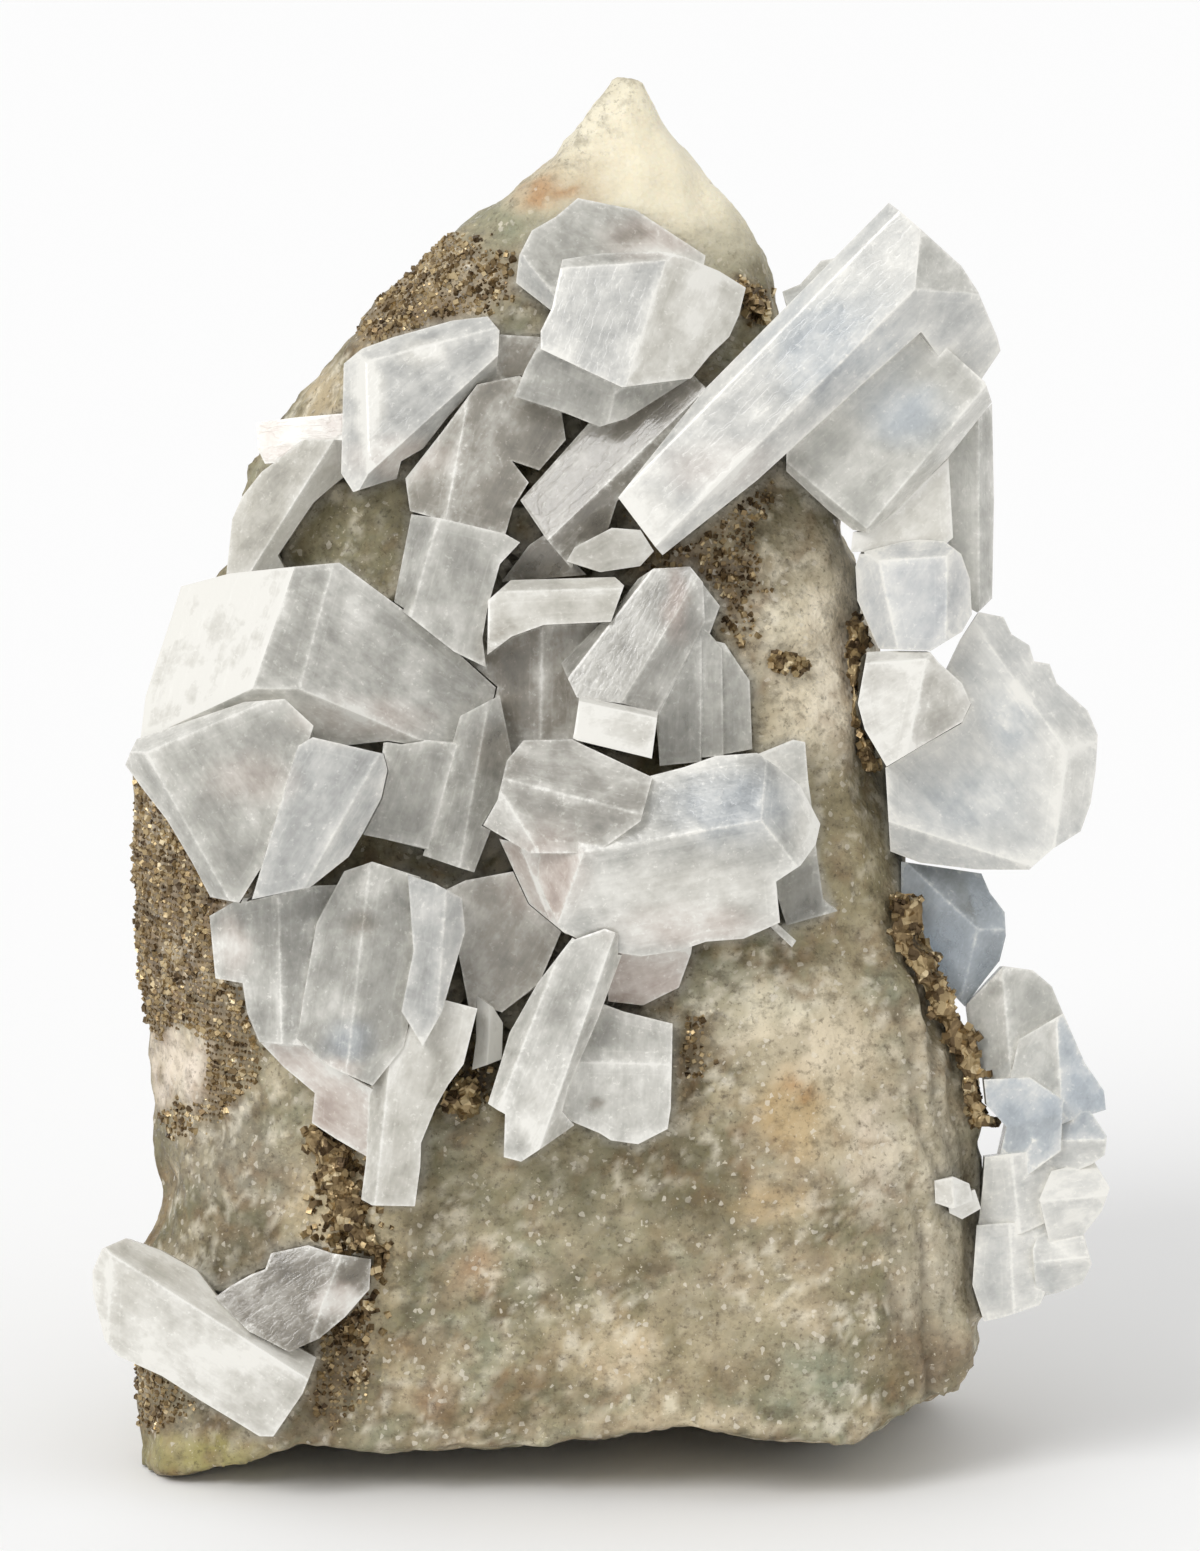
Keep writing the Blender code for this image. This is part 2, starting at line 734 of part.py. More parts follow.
def rock_ring(y):
    """Closed section of the rock at one height: steps across and millimetres of depth."""
    left, right, w_left, w_mid, w_ridge, w_right, out, back = rock_row(y)
    wide = right - left
    drop = w_left - back
    return [
        (left, w_left - 0.10 * drop),
        (left + 0.015 * wide, w_left + 0.6),
        (left + 0.12 * wide, w_left + 0.62 * (w_mid - w_left)),
        (left + 0.32 * wide, w_mid - 0.8),
        (left + 0.55 * wide, w_mid + 0.2),
        (left + 0.80 * wide, w_ridge),
        (left + 0.94 * wide, 0.55 * w_ridge + 0.45 * w_right),
        (right, w_right),
        (right + 0.6 * out, w_right + 0.30 * (back - w_right)),
        (right + out - 0.02 * wide, w_right + 0.62 * (back - w_right)),
        (left + 0.84 * wide, back + 0.10 * drop),
        (left + 0.58 * wide, back),
        (left + 0.30 * wide, back + 0.06 * drop),
        (left + 0.08 * wide, back + 0.34 * drop),
    ]


def spread(points, count):
    """The closed ring through these points, at even distances round it."""
    ring = np.array([(x * STEP / MM, w) for x, w in points])
    ring = np.vstack([ring, ring[:1]])
    along = np.concatenate([[0], np.cumsum(np.linalg.norm(np.diff(ring, axis=0), axis=1))])
    at = np.linspace(0, along[-1], count, endpoint=False)
    across = np.interp(at, along, ring[:, 0]) * MM / STEP
    depth = np.interp(at, along, ring[:, 1])
    return list(zip(across.tolist(), depth.tolist()))


def roughness(x, y, depth):
    """Lumps and small ledges of broken rock, in millimetres."""
    p = Vector((x * STEP / MM, y * STEP / MM, depth))
    lump = noise.noise(p * 0.13) + 0.5 * noise.noise(p * 0.31 + Vector((7, 3, 1)))
    facet = 0.5 - noise.voronoi(p * 0.22)[0][0]
    return ROCK_LUMP * lump + 0.8 * facet + ROCK_GRAIN * noise.noise(p * 0.9)


def rock_face(x, y):
    """Depth of the rock's face under a point, in millimetres."""
    ring = rock_ring(y)[:8]
    return float(np.interp(x, [p[0] for p in ring], [p[1] for p in ring]))


def new_object(name, bm):
    mesh = bpy.data.meshes.new(name)
    bmesh.ops.recalc_face_normals(bm, faces=bm.faces)
    bm.to_mesh(mesh)
    bm.free()
    obj = bpy.data.objects.new(name, mesh)
    bpy.context.scene.collection.objects.link(obj)
    return obj


def boolean(obj, other, operation):
    """Joins or cuts obj with other, which is used up."""
    modifier = obj.modifiers.new("join", "BOOLEAN")
    modifier.operation = operation
    modifier.solver = "EXACT"
    modifier.object = other
    bpy.context.view_layer.update()
    graph = bpy.context.evaluated_depsgraph_get()
    mesh = bpy.data.meshes.new_from_object(obj.evaluated_get(graph))
    obj.modifiers.clear()
    old = obj.data
    obj.data = mesh
    bpy.data.meshes.remove(old)
    bpy.data.objects.remove(other, do_unlink=True)


def grow(bm, gap):
    """Moves each face of a body outward by the gap."""
    bm.normal_update()
    moves = []
    for v in bm.verts:
        normals = []
        for f in v.link_faces:
            if all(f.normal.dot(n) < 0.999 for n in normals):
                normals.append(f.normal.copy())
        rows = np.array([tuple(n) for n in normals])
        moves.append(Vector(np.linalg.lstsq(rows, np.full(len(rows), gap), rcond=0.05)[0]))
    for v, move in zip(bm.verts, moves):
        v.co += move * min(1, CORNER_REACH * gap / max(move.length, gap))


def crystal_body(crystal, gap=0.0):
    """One crystal: its outline carried back into the rock, and its flat faces cut across the front."""
    outline, faces, thick = crystal
    depths = [corner[2] for face in faces for corner in face]
    front = max(depths) + FACE_ROOM
    back = min(depths) - thick
    cx = sum(p[0] for p in outline) / len(outline)
    cy = sum(p[1] for p in outline) / len(outline)
    bm = bmesh.new()
    near_ring = [bm.verts.new(place(x, y, front)) for x, y in outline]
    foot = [(cx + FOOT_SIZE * (x - cx), cy + FOOT_SIZE * (y - cy)) for x, y in outline]
    far_ring = [bm.verts.new(place(x, y, back)) for x, y in foot]
    for j in range(len(outline)):
        k = (j + 1) % len(outline)
        bm.faces.new((near_ring[j], near_ring[k], far_ring[k], far_ring[j]))
    bm.faces.new(near_ring)
    bm.faces.new(far_ring)
    bmesh.ops.recalc_face_normals(bm, faces=bm.faces)
    for face in faces:
        a, b, c = (place(*corner) for corner in face)
        normal = (b - a).cross(c - a).normalized()
        if normal.dot(TOWARD) < 0:
            normal = -normal
        whole = bm.verts[:] + bm.edges[:] + bm.faces[:]
        bmesh.ops.bisect_plane(bm, geom=whole, plane_co=a, plane_no=normal, clear_outer=True)
        bmesh.ops.holes_fill(bm, edges=[e for e in bm.edges if e.is_boundary], sides=0)
    bmesh.ops.recalc_face_normals(bm, faces=bm.faces)
    if gap:
        grow(bm, gap)
    bmesh.ops.triangulate(bm, faces=bm.faces)
    return new_object("crystal", bm)


def cube_body(centre, side, turn, gap=0.0):
    bm = bmesh.new()
    bmesh.ops.create_cube(bm, size=side * MM + 2 * gap, matrix=turn)
    bmesh.ops.translate(bm, verts=bm.verts, vec=centre)
    return new_object("cube", bm)


def near(a, b):
    """Whether the boxes of two objects meet."""
    corners = []
    for obj in (a, b):
        co = np.array([tuple(v.co) for v in obj.data.vertices])
        corners.append((co.min(axis=0), co.max(axis=0)))
    return bool((corners[0][0] < corners[1][1]).all() and (corners[1][0] < corners[0][1]).all())


def cut(obj, cutter):
    if near(obj, cutter):
        boolean(obj, cutter, "DIFFERENCE")
    else:
        bpy.data.objects.remove(cutter, do_unlink=True)


def keep_largest(obj):
    """Leaves the one body that is the piece, without crumbs of a cut, and joins what is flat."""
    bm = bmesh.new()
    bm.from_mesh(obj.data)
    left = set(bm.verts)
    shells = []
    while left:
        stack = [left.pop()]
        shell = set(stack)
        while stack:
            for edge in stack.pop().link_edges:
                for v in edge.verts:
                    if v in left:
                        left.discard(v)
                        shell.add(v)
                        stack.append(v)
        shells.append(shell)
    shells.sort(key=lambda s: -sum(f.calc_area() for f in {f for v in s for f in v.link_faces}))
    for shell in shells[1:]:
        bmesh.ops.delete(bm, geom=list(shell), context="VERTS")
    bmesh.ops.remove_doubles(bm, verts=bm.verts, dist=MERGE)
    bmesh.ops.dissolve_limit(bm, angle_limit=FLAT, verts=bm.verts, edges=bm.edges)
    bmesh.ops.triangulate(bm, faces=bm.faces)
    bm.to_mesh(obj.data)
    bm.free()


def material(name, colour, metallic, rough, transmission=0.0, ior=1.5):
    made = bpy.data.materials.new(name)
    made.use_nodes = True
    shader = made.node_tree.nodes["Principled BSDF"]
    shader.inputs["Base Color"].default_value = (*colour, 1)
    shader.inputs["Metallic"].default_value = metallic
    shader.inputs["Roughness"].default_value = rough
    shader.inputs["Transmission Weight"].default_value = transmission
    shader.inputs["IOR"].default_value = ior
    return made


def finish(obj, name, slot):
    keep_largest(obj)
    obj.name = name
    obj.data.name = name
    obj.data.materials.clear()
    obj.data.materials.append(slot)


rock_stone = material("rock", (0.42, 0.38, 0.28), 0.0, 0.85)
barite = material("barite", (0.84, 0.89, 0.93), 0.0, 0.18, 0.7, 1.64)
pyrite = material("pyrite", (0.62, 0.50, 0.26), 1.0, 0.32)

# Crystal groups, the foremost first: a later group stops short of the ones before it
GROUPS = (
    ("long_prism_group", LONG_PRISM),
    ("middle_block_group", MIDDLE_BLOCK),
    ("left_block_group", LEFT_GROUP),
    ("crown_group", CROWN_GROUP),
    ("upper_left_group", UPPER_LEFT_GROUP),
    ("centre_group", CENTRE_GROUP),
    ("lower_group", LOWER_GROUP),
    ("right_upper_crystal", RIGHT_UPPER_CRYSTAL),
    ("right_middle_crystal", RIGHT_MIDDLE_CRYSTAL),
    ("right_block", RIGHT_BLOCK),
    ("right_dark_crystal", DARK_CRYSTAL),
    ("knobby_group", KNOBBY_GROUP),
    ("corner_pair", CORNER_PAIR),
    ("flank_crystals", FLANK_CRYSTALS),
)

earlier = []
for group_name, crystals in GROUPS:
    group = crystal_body(crystals[0])
    for item in crystals[1:]:
        boolean(group, crystal_body(item), "UNION")
    for item in earlier:
        cut(group, crystal_body(item, GAP))
    finish(group, "barite_" + group_name, barite)
    earlier += list(crystals)


def rock_body(extra):
    """Rock as rings from the tip down, closed at both ends, with its skin moved out by extra millimetres."""
    bm = bmesh.new()
    rings = []
    for i in range(RING_COUNT):
        y = ROCK_TOP + (ROCK_LOW - ROCK_TOP) * i / (RING_COUNT - 1)
        ring = spread(rock_ring(y), RING_POINTS)
        cx = sum(p[0] for p in ring) / RING_POINTS
        cw = sum(p[1] for p in ring) / RING_POINTS
        row = []
        for x, w in ring:
            away = Vector(((x - cx) * STEP / MM, w - cw))
            size = min(1.0, away.length / 6)
            away = away.normalized() * (roughness(x, y, w) * size + extra)
            p = place(x + away.x * MM / STEP, y, w + away.y)
            for normal, reach in BREAKS:
                n = Vector(normal).normalized()
                over = p.dot(n) - (reach + extra) * MM
                if over > 0:
                    p -= n * over * BREAK_DEPTH
            row.append(bm.verts.new(p))
        rings.append(row)
    for upper, lower in zip(rings, rings[1:]):
        for j in range(RING_POINTS):
            k = (j + 1) % RING_POINTS
            bm.faces.new((upper[j], upper[k], lower[k], lower[j]))
    bm.faces.new(rings[0])
    bm.faces.new(rings[-1])
    bmesh.ops.triangulate(bm, faces=bm.faces)
    return new_object("rock", bm)


rock = rock_body(0.0)

# Foot: a wavy lip in front, and the flat break that it stands on
bm = bmesh.new()
sides = []
for depth in (-60, 40):
    edge = [(x, y) for x, y in ROCK_FOOT] + [(1100, 2200), (60, 2200)]
    sides.append([bm.verts.new(place(x, y, depth)) for x, y in edge])
for j in range(len(sides[0])):
    k = (j + 1) % len(sides[0])
    bm.faces.new((sides[0][j], sides[0][k], sides[1][k], sides[1][j]))
bm.faces.new(sides[0])
bm.faces.new(sides[1])
boolean(rock, new_object("below", bm), "DIFFERENCE")
floor_cut = bmesh.new()
bmesh.ops.create_cube(floor_cut, size=0.3)
bmesh.ops.translate(floor_cut, verts=floor_cut.verts, vec=(0, 0, -0.15))
boolean(rock, new_object("floor", floor_cut), "DIFFERENCE")


def cube_chain(name, spots, sizes, between, seed):
    """A crust of pyrite: cubes grown through each other along a line of the rock."""
    rng = np.random.default_rng(seed)
    cubes = []
    for a, b in zip(spots, spots[1:] + spots[-1:]):
        for i in range(between):
            t = i / between
            x = a[0] + t * (b[0] - a[0]) + rng.uniform(-CUBE_STRAY, CUBE_STRAY)
            y = a[1] + t * (b[1] - a[1]) + rng.uniform(-CUBE_STRAY, CUBE_STRAY)
            side = rng.uniform(*sizes)
            turn = Vector(rng.normal(size=3)).to_track_quat("Z", "Y").to_matrix().to_4x4()
            skin = rock_face(x, y)
            skin += roughness(x, y, skin) + rng.uniform(*CUBE_RISE)
            cubes.append((place(x, y, skin), side, turn))
    crust = cube_body(*cubes[0])
    for item in cubes[1:]:
        boolean(crust, cube_body(*item), "UNION")
    boolean(crust, rock_body(GAP / MM), "DIFFERENCE")
    for item in earlier:
        cut(crust, crystal_body(item, GAP))
    finish(crust, name, pyrite)


for item in earlier:
    cut(rock, crystal_body(item, GAP))
cube_chain("pyrite_seam_upper", UPPER_SEAM, SEAM_CUBE, 1, 3)
cube_chain("pyrite_seam_lower", LOWER_SEAM, LOWER_CUBE, 1, 4)
cube_chain("pyrite_band", BAND_ROWS, BAND_CUBE, 1, 5)
cube_chain("pyrite_nodule", NODULE_SPOTS, NODULE_CUBE, 1, 8)
cube_chain("pyrite_spot", SPOT_SPOTS, SPOT_CUBE, 1, 9)
cube_chain("pyrite_edge_grains", EDGE_SPOTS, EDGE_CUBE, 1, 11)
finish(rock, "rock", rock_stone)

# The origin goes under the middle of the whole
for obj in bpy.context.scene.objects:
    obj.data.transform(Matrix.Translation((0, -DEPTH_MID, 0)))
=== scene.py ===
"""Blue barite with pyrite: the looks of the specimen over its CAD frame."""

import math

import bmesh
import bpy
import numpy as np
from mathutils import Matrix, Vector, noise
from mathutils.bvhtree import BVHTree


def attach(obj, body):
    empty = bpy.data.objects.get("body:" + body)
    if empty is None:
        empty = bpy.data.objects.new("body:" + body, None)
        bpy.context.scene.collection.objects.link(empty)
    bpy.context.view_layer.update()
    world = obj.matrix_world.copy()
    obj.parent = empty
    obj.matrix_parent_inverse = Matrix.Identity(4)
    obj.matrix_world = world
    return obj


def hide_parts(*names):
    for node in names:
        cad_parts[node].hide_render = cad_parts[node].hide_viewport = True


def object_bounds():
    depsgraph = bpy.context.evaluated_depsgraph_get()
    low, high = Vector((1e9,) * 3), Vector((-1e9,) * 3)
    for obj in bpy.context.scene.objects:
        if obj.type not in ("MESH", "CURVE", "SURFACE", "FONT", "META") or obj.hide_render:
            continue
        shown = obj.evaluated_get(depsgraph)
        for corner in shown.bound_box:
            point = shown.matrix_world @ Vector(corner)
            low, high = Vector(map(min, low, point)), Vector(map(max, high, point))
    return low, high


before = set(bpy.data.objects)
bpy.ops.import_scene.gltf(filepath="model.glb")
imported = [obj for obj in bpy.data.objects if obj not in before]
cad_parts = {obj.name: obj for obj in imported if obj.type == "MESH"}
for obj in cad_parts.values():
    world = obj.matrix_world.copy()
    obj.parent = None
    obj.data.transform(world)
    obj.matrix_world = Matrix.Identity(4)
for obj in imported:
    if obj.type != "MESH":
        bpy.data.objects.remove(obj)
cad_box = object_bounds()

# The face's own measures, as the CAD source has them: steps across and down, and depth
STEP = 0.00007
MID_X = 600
BASE_Y = 1480
MM = 0.001
LEAN = math.radians(12)
DEPTH_MID = 0.0133
SIDE = Vector((1, 0, 0))
UP = Vector((0, math.sin(LEAN), math.cos(LEAN)))
OUT = Vector((0, -math.cos(LEAN), math.sin(LEAN)))

rng = np.random.default_rng(7)


def place(x, y, depth):
    """World point of a spot of the face, from steps and millimetres of depth."""
    on_face = SIDE * ((x - MID_X) * STEP) + UP * ((BASE_Y - y) * STEP)
    return on_face + OUT * (depth * MM) - Vector((0, DEPTH_MID, 0))


def face_steps(points):
    """Steps across and down and the depth in millimetres of world points, one row each."""
    moved = points + np.array([0, DEPTH_MID, 0])
    x = moved @ np.array(SIDE) / STEP + MID_X
    y = BASE_Y - moved @ np.array(UP) / STEP
    return x, y, moved @ np.array(OUT) / MM


def linear(value):
    """Linear light of one 8-bit display value."""
    share = value / 255
    return share / 12.92 if share <= 0.04045 else ((share + 0.055) / 1.055) ** 2.4


def srgb(r, g, b):
    """Linear colour from 8-bit display values."""
    return np.array([linear(r), linear(g), linear(b)])


def noise_at(points, size_mm, seed, octaves=1):
    """Smooth noise from about -1 to 1, its features about size_mm across."""
    shift = Vector((seed * 3.7, seed * 1.3, seed * 5.1))
    scale = 1 / (size_mm * MM)
    if octaves == 1:
        return np.array([noise.noise(Vector(p) * scale + shift) for p in points])
    return np.array([noise.fractal(Vector(p) * scale + shift, 0.9, 2.0, octaves) for p in points])


def cells_at(points, size_mm, seed):
    """Distance to the nearest cell centre, from 0 to about 1, in cells about size_mm across."""
    shift = Vector((seed * 2.1, seed * 4.3, seed * 1.9))
    scale = 1 / (size_mm * MM)
    return np.array([noise.voronoi(Vector(p) * scale + shift)[0][0] for p in points])


def rise(values, start, width):
    """0 up to start, and 1 from start plus width on."""
    return np.clip((values - start) / width, 0, 1)


def fall(values, end, width):
    """1 up to end minus width, and 0 from end on."""
    return np.clip((end - values) / width, 0, 1)


def blend(tint, colour, share):
    """Each row's colour moved towards one colour by the row's share."""
    return tint * (1 - share[:, None]) + colour[None] * share[:, None]


# Node helpers
def material(name):
    """New material, its node tree and its shader."""
    made = bpy.data.materials.new(name)
    made.use_nodes = True
    tree = made.node_tree
    return made, tree, tree.nodes["Principled BSDF"]


def attribute(tree, name, output="Fac"):
    """Socket of one attribute of the mesh."""
    node = tree.nodes.new("ShaderNodeAttribute")
    node.attribute_name = name
    return node.outputs[output]


def ramp(tree, source, stops):
    """The source's value turned into grey values or colours, given as places and values."""
    node = tree.nodes.new("ShaderNodeValToRGB")
    tree.links.new(source, node.inputs[0])
    while len(node.color_ramp.elements) < len(stops):
        node.color_ramp.elements.new(0.5)
    for element, (at, value) in zip(node.color_ramp.elements, stops):
        element.position = at
        element.color = (value, value, value, 1) if np.isscalar(value) else (*value, 1)
    return node.outputs[0]


def mix_colour(tree, factor, a, b, how="MIX"):
    """Two colours mixed by a factor, each of them a socket or a value."""
    node = tree.nodes.new("ShaderNodeMix")
    node.data_type = "RGBA"
    node.blend_type = how
    for socket, value in ((node.inputs[0], factor), (node.inputs[6], a), (node.inputs[7], b)):
        if isinstance(value, bpy.types.NodeSocket):
            tree.links.new(value, socket)
        else:
            socket.default_value = value if np.isscalar(value) else (*value, 1)
    return node.outputs[2]


def maths(tree, operation, *values):
    """One calculation with sockets and numbers."""
    node = tree.nodes.new("ShaderNodeMath")
    node.operation = operation
    for socket, value in zip(node.inputs, values):
        if isinstance(value, bpy.types.NodeSocket):
            tree.links.new(value, socket)
        else:
            socket.default_value = value
    return node.outputs[0]


def bump(tree, height, strength, distance_mm, before=None):
    """Normal bent by a height, on top of the normal before it."""
    node = tree.nodes.new("ShaderNodeBump")
    node.inputs["Strength"].default_value = strength
    node.inputs["Distance"].default_value = distance_mm * MM
    tree.links.new(height, node.inputs["Height"])
    if before:
        tree.links.new(before, node.inputs["Normal"])
    return node.outputs[0]


def object_place(tree):
    """Each point's place on its object."""
    return tree.nodes.new("ShaderNodeTexCoord").outputs["Object"]


def scaled(tree, where, scale):
    """Coordinates with each axis scaled."""
    node = tree.nodes.new("ShaderNodeVectorMath")
    node.operation = "MULTIPLY"
    node.inputs[1].default_value = scale
    tree.links.new(where, node.inputs[0])
    return node.outputs[0]


def noise_value(tree, where, size_mm, detail, rough=0.6):
    """Noise from 0 to 1, its features about size_mm across."""
    node = tree.nodes.new("ShaderNodeTexNoise")
    node.inputs["Scale"].default_value = 1 / (size_mm * MM)
    node.inputs["Detail"].default_value = detail
    node.inputs["Roughness"].default_value = rough
    tree.links.new(where, node.inputs["Vector"])
    return node.outputs[0]


def cell_node(tree, where, size_mm):
    """Cells about size_mm across."""
    node = tree.nodes.new("ShaderNodeTexVoronoi")
    node.inputs["Scale"].default_value = 1 / (size_mm * MM)
    tree.links.new(where, node.inputs["Vector"])
    return node


def grown_noise(tree, grow, stretch, detail=2, rough=0.6):
    """Noise over the growth coordinates, which count millimetres, not metres."""
    return noise_value(tree, scaled(tree, grow, stretch), 1 / MM, detail, rough)


# Grains of the rock and painted glints, over the colours of its patches
PALE_GRAIN = srgb(206, 192, 160)
DARK_BLOT = srgb(84, 72, 50)
PIT = srgb(70, 56, 38)
FLECK = srgb(226, 216, 194)
PAINTED_GLINT = srgb(222, 214, 198)
FADE_WHERE_CLEAR = -0.85
TIP_GLOW = 0.5
TIP_GLOW_DEPTH = 0.002
TIP_GLOW_REACH = (1.0, 0.85, 0.6)
DRUSE_GRAIN_SHARE = 0.85
ROCK_SHINE = 0.45


def rock_grains(tree, where, fine, clear):
    """The rock's colour with its pale and dark grains and painted glints, which fade where it is clear.
    """
    colour = attribute(tree, "tint", "Color")
    rough_share = maths(tree, "MULTIPLY_ADD", clear, FADE_WHERE_CLEAR, 1.0)
    broad = noise_value(tree, where, 3.6, 5)
    blots = noise_value(tree, scaled(tree, where, (1.0, 1.0, 1.3)), 1.3, 4, 0.68)
    painted_glints = cell_node(tree, where, 0.30).outputs["Color"]
    for pattern, stops, grain in (
        (broad, ((0.44, 0.0), (0.76, 0.50)), PALE_GRAIN),
        (blots, ((0.28, 0.60), (0.50, 0.0)), DARK_BLOT),
        (fine, ((0.32, 0.55), (0.44, 0.0)), PIT),
        (fine, ((0.64, 0.0), (0.70, 0.75)), FLECK),
        # painted glints: a few small cells made pale, standing in for sparkle of light
        (painted_glints, ((0.86, 0.0), (0.90, 0.55)), PAINTED_GLINT),
    ):
        share = maths(tree, "MULTIPLY", ramp(tree, pattern, stops), rough_share)
        colour = mix_colour(tree, share, colour, grain)
    return colour


def rock_material():
    """Rough stone with grains, coarser over the druse and a little translucent at the tip."""
    made, tree, shader = material("rock_surface")
    clear = attribute(tree, "clear")
    where = object_place(tree)
    fine = noise_value(tree, where, 0.42, 4, 0.7)
    cells = cell_node(tree, where, 0.38)
    colour = rock_grains(tree, where, fine, clear)
    grain = ramp(tree, cells.outputs["Color"], ((0.0, 0.30), (0.45, 0.85), (0.8, 1.2), (1.0, 2.3)))
    grained = mix_colour(tree, 1.0, colour, grain, "MULTIPLY")
    druse = maths(tree, "MULTIPLY", attribute(tree, "druse"), DRUSE_GRAIN_SHARE)
    tree.links.new(mix_colour(tree, druse, colour, grained), shader.inputs["Base Color"])
    rough = ramp(tree, cells.outputs["Color"], ((0.10, 0.22), (0.3, 0.62), (1.0, 0.85)))
    tree.links.new(rough, shader.inputs["Roughness"])
    shader.inputs["Specular IOR Level"].default_value = ROCK_SHINE
    normal = bump(tree, fine, 0.4, 0.12)
    normal = bump(tree, cells.outputs["Distance"], 0.45, 0.14, normal)
    tree.links.new(normal, shader.inputs["Normal"])
    shader.inputs["Subsurface Radius"].default_value = TIP_GLOW_REACH
    shader.inputs["Subsurface Scale"].default_value = TIP_GLOW_DEPTH
    tree.links.new(maths(tree, "MULTIPLY", clear, TIP_GLOW), shader.inputs["Subsurface Weight"])
    return made


# How much each pattern adds to a crystal's cloudiness
VEIL_SHARE = 0.46
TERRACE_SHARE = 0.05
LINE_SHARE = 0.04
FLECK_SHARE = 0.16
EDGE_SHARE = 0.36

# Stops of the crystals' ramps, as places and values
TERRACE_STOPS = ((0.59, 0.0), (0.60, 0.5), (0.65, 0.4), (0.66, 1.0), (0.71, 0.8), (0.72, 0.2))
EDGE_STOPS = ((0.0, 1.0), (0.18, 0.42), (0.72, 0.06), (0.80, 0.20), (0.92, 0.0))
CLOUD_TO_CLEARNESS = ((0.0, 0.90), (1.15, 0.10))
CLOUD_TO_PALENESS = ((0.55, 0.0), (1.15, 1.0))
CLOUD_TO_SHADE = ((0.15, 0.90), (0.60, 1.0))
CLOUD_TO_ROUGHNESS = ((0.1, 0.10), (1.0, 0.26))
PALEST = srgb(238, 236, 229)
BARITE_IOR = 1.64
BARITE_BODY = (0.79, 0.82, 0.84, 1)


def barite_cloud(tree, terrace, lines, veils):
    """Cloudiness of the crystal: its milk, and more at veils, terraces, lines, flecks and edges."""
    flecks = noise_value(tree, object_place(tree), 0.40, 3, 0.7)
    edge = ramp(tree, attribute(tree, "border"), EDGE_STOPS)
    edge = maths(tree, "MULTIPLY", edge, ramp(tree, flecks, ((0.34, 0.5), (0.60, 1.0))))
    cloud = attribute(tree, "milk")
    for pattern, share in (
        (ramp(tree, veils, ((0.30, 0.0), (0.70, 1.0))), VEIL_SHARE),
        (terrace, TERRACE_SHARE),
        (ramp(tree, lines, ((0.40, 0.0), (0.72, 1.0))), LINE_SHARE),
        (ramp(tree, flecks, ((0.60, 0.0), (0.70, 1.0))), FLECK_SHARE),
        (edge, EDGE_SHARE),
    ):
        cloud = maths(tree, "MULTIPLY_ADD", pattern, share, cloud)
    return cloud


def barite_material(name, density):
    """Clear to cloudy crystal: growth terraces and lines along each prism, veils and frosted edges."""
    made, tree, shader = material(name)
    grow = attribute(tree, "grow", "Vector")
    across = grown_noise(tree, grow, (1.0, 0.05, 0.55))
    along = grown_noise(tree, grow, (0.08, 0.50, 0.55))
    plan = maths(tree, "MULTIPLY_ADD", along, 0.55, maths(tree, "MULTIPLY", across, 0.75))
    terrace = ramp(tree, plan, TERRACE_STOPS)
    lines = grown_noise(tree, grow, (3.2, 0.09, 1.0))
    veils = grown_noise(tree, grow, (0.36, 0.28, 0.34), 4, 0.64)
    cloud = barite_cloud(tree, terrace, lines, veils)
    tree.links.new(ramp(tree, cloud, CLOUD_TO_CLEARNESS), shader.inputs["Transmission Weight"])
    tint = attribute(tree, "tint", "Color")
    pale = mix_colour(tree, ramp(tree, cloud, CLOUD_TO_PALENESS), tint, PALEST)
    pale = mix_colour(tree, 1.0, pale, ramp(tree, cloud, CLOUD_TO_SHADE), "MULTIPLY")
    tree.links.new(pale, shader.inputs["Base Color"])
    tree.links.new(ramp(tree, cloud, CLOUD_TO_ROUGHNESS), shader.inputs["Roughness"])
    shader.inputs["IOR"].default_value = BARITE_IOR
    height = ramp(tree, attribute(tree, "border"), ((0.0, 0.0), (0.16, 0.35)))
    for pattern, share in ((terrace, 0.18), (lines, 0.16), (veils, 1.5)):
        height = maths(tree, "MULTIPLY_ADD", pattern, share, height)
    tree.links.new(bump(tree, height, 0.35, 0.12), shader.inputs["Normal"])
    volume = tree.nodes.new("ShaderNodeVolumeAbsorption")
    volume.inputs["Color"].default_value = BARITE_BODY
    volume.inputs["Density"].default_value = density
    tree.links.new(volume.outputs[0], tree.nodes["Material Output"].inputs["Volume"])
    return made


PYRITE_STOPS = (
    (0.1, srgb(82, 66, 48)),
    (0.45, srgb(140, 119, 86)),
    (0.75, srgb(184, 163, 124)),
    (0.95, srgb(236, 219, 182)),
)
PYRITE_METAL = 0.8


def pyrite_material():
    """Brassy metal whose cells shine and darken each in its own way."""
    made, tree, shader = material("pyrite_surface")
    where = object_place(tree)
    cells = cell_node(tree, where, 0.7)
    fine = noise_value(tree, where, 0.3, 3)
    tree.links.new(ramp(tree, cells.outputs["Color"], PYRITE_STOPS), shader.inputs["Base Color"])
    shader.inputs["Metallic"].default_value = PYRITE_METAL
    tree.links.new(ramp(tree, fine, ((0.3, 0.25), (0.7, 0.55))), shader.inputs["Roughness"])
    tree.links.new(bump(tree, fine, 0.4, 0.06), shader.inputs["Normal"])
    return made


# Mesh helpers
def copy_of(node, name):
    """A mesh of its own with the form of one CAD node."""
    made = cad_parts[node].copy()
    made.data = made.data.copy()
    made.name = name
    made.modifiers.clear()
    bpy.context.scene.collection.objects.link(made)
    return made


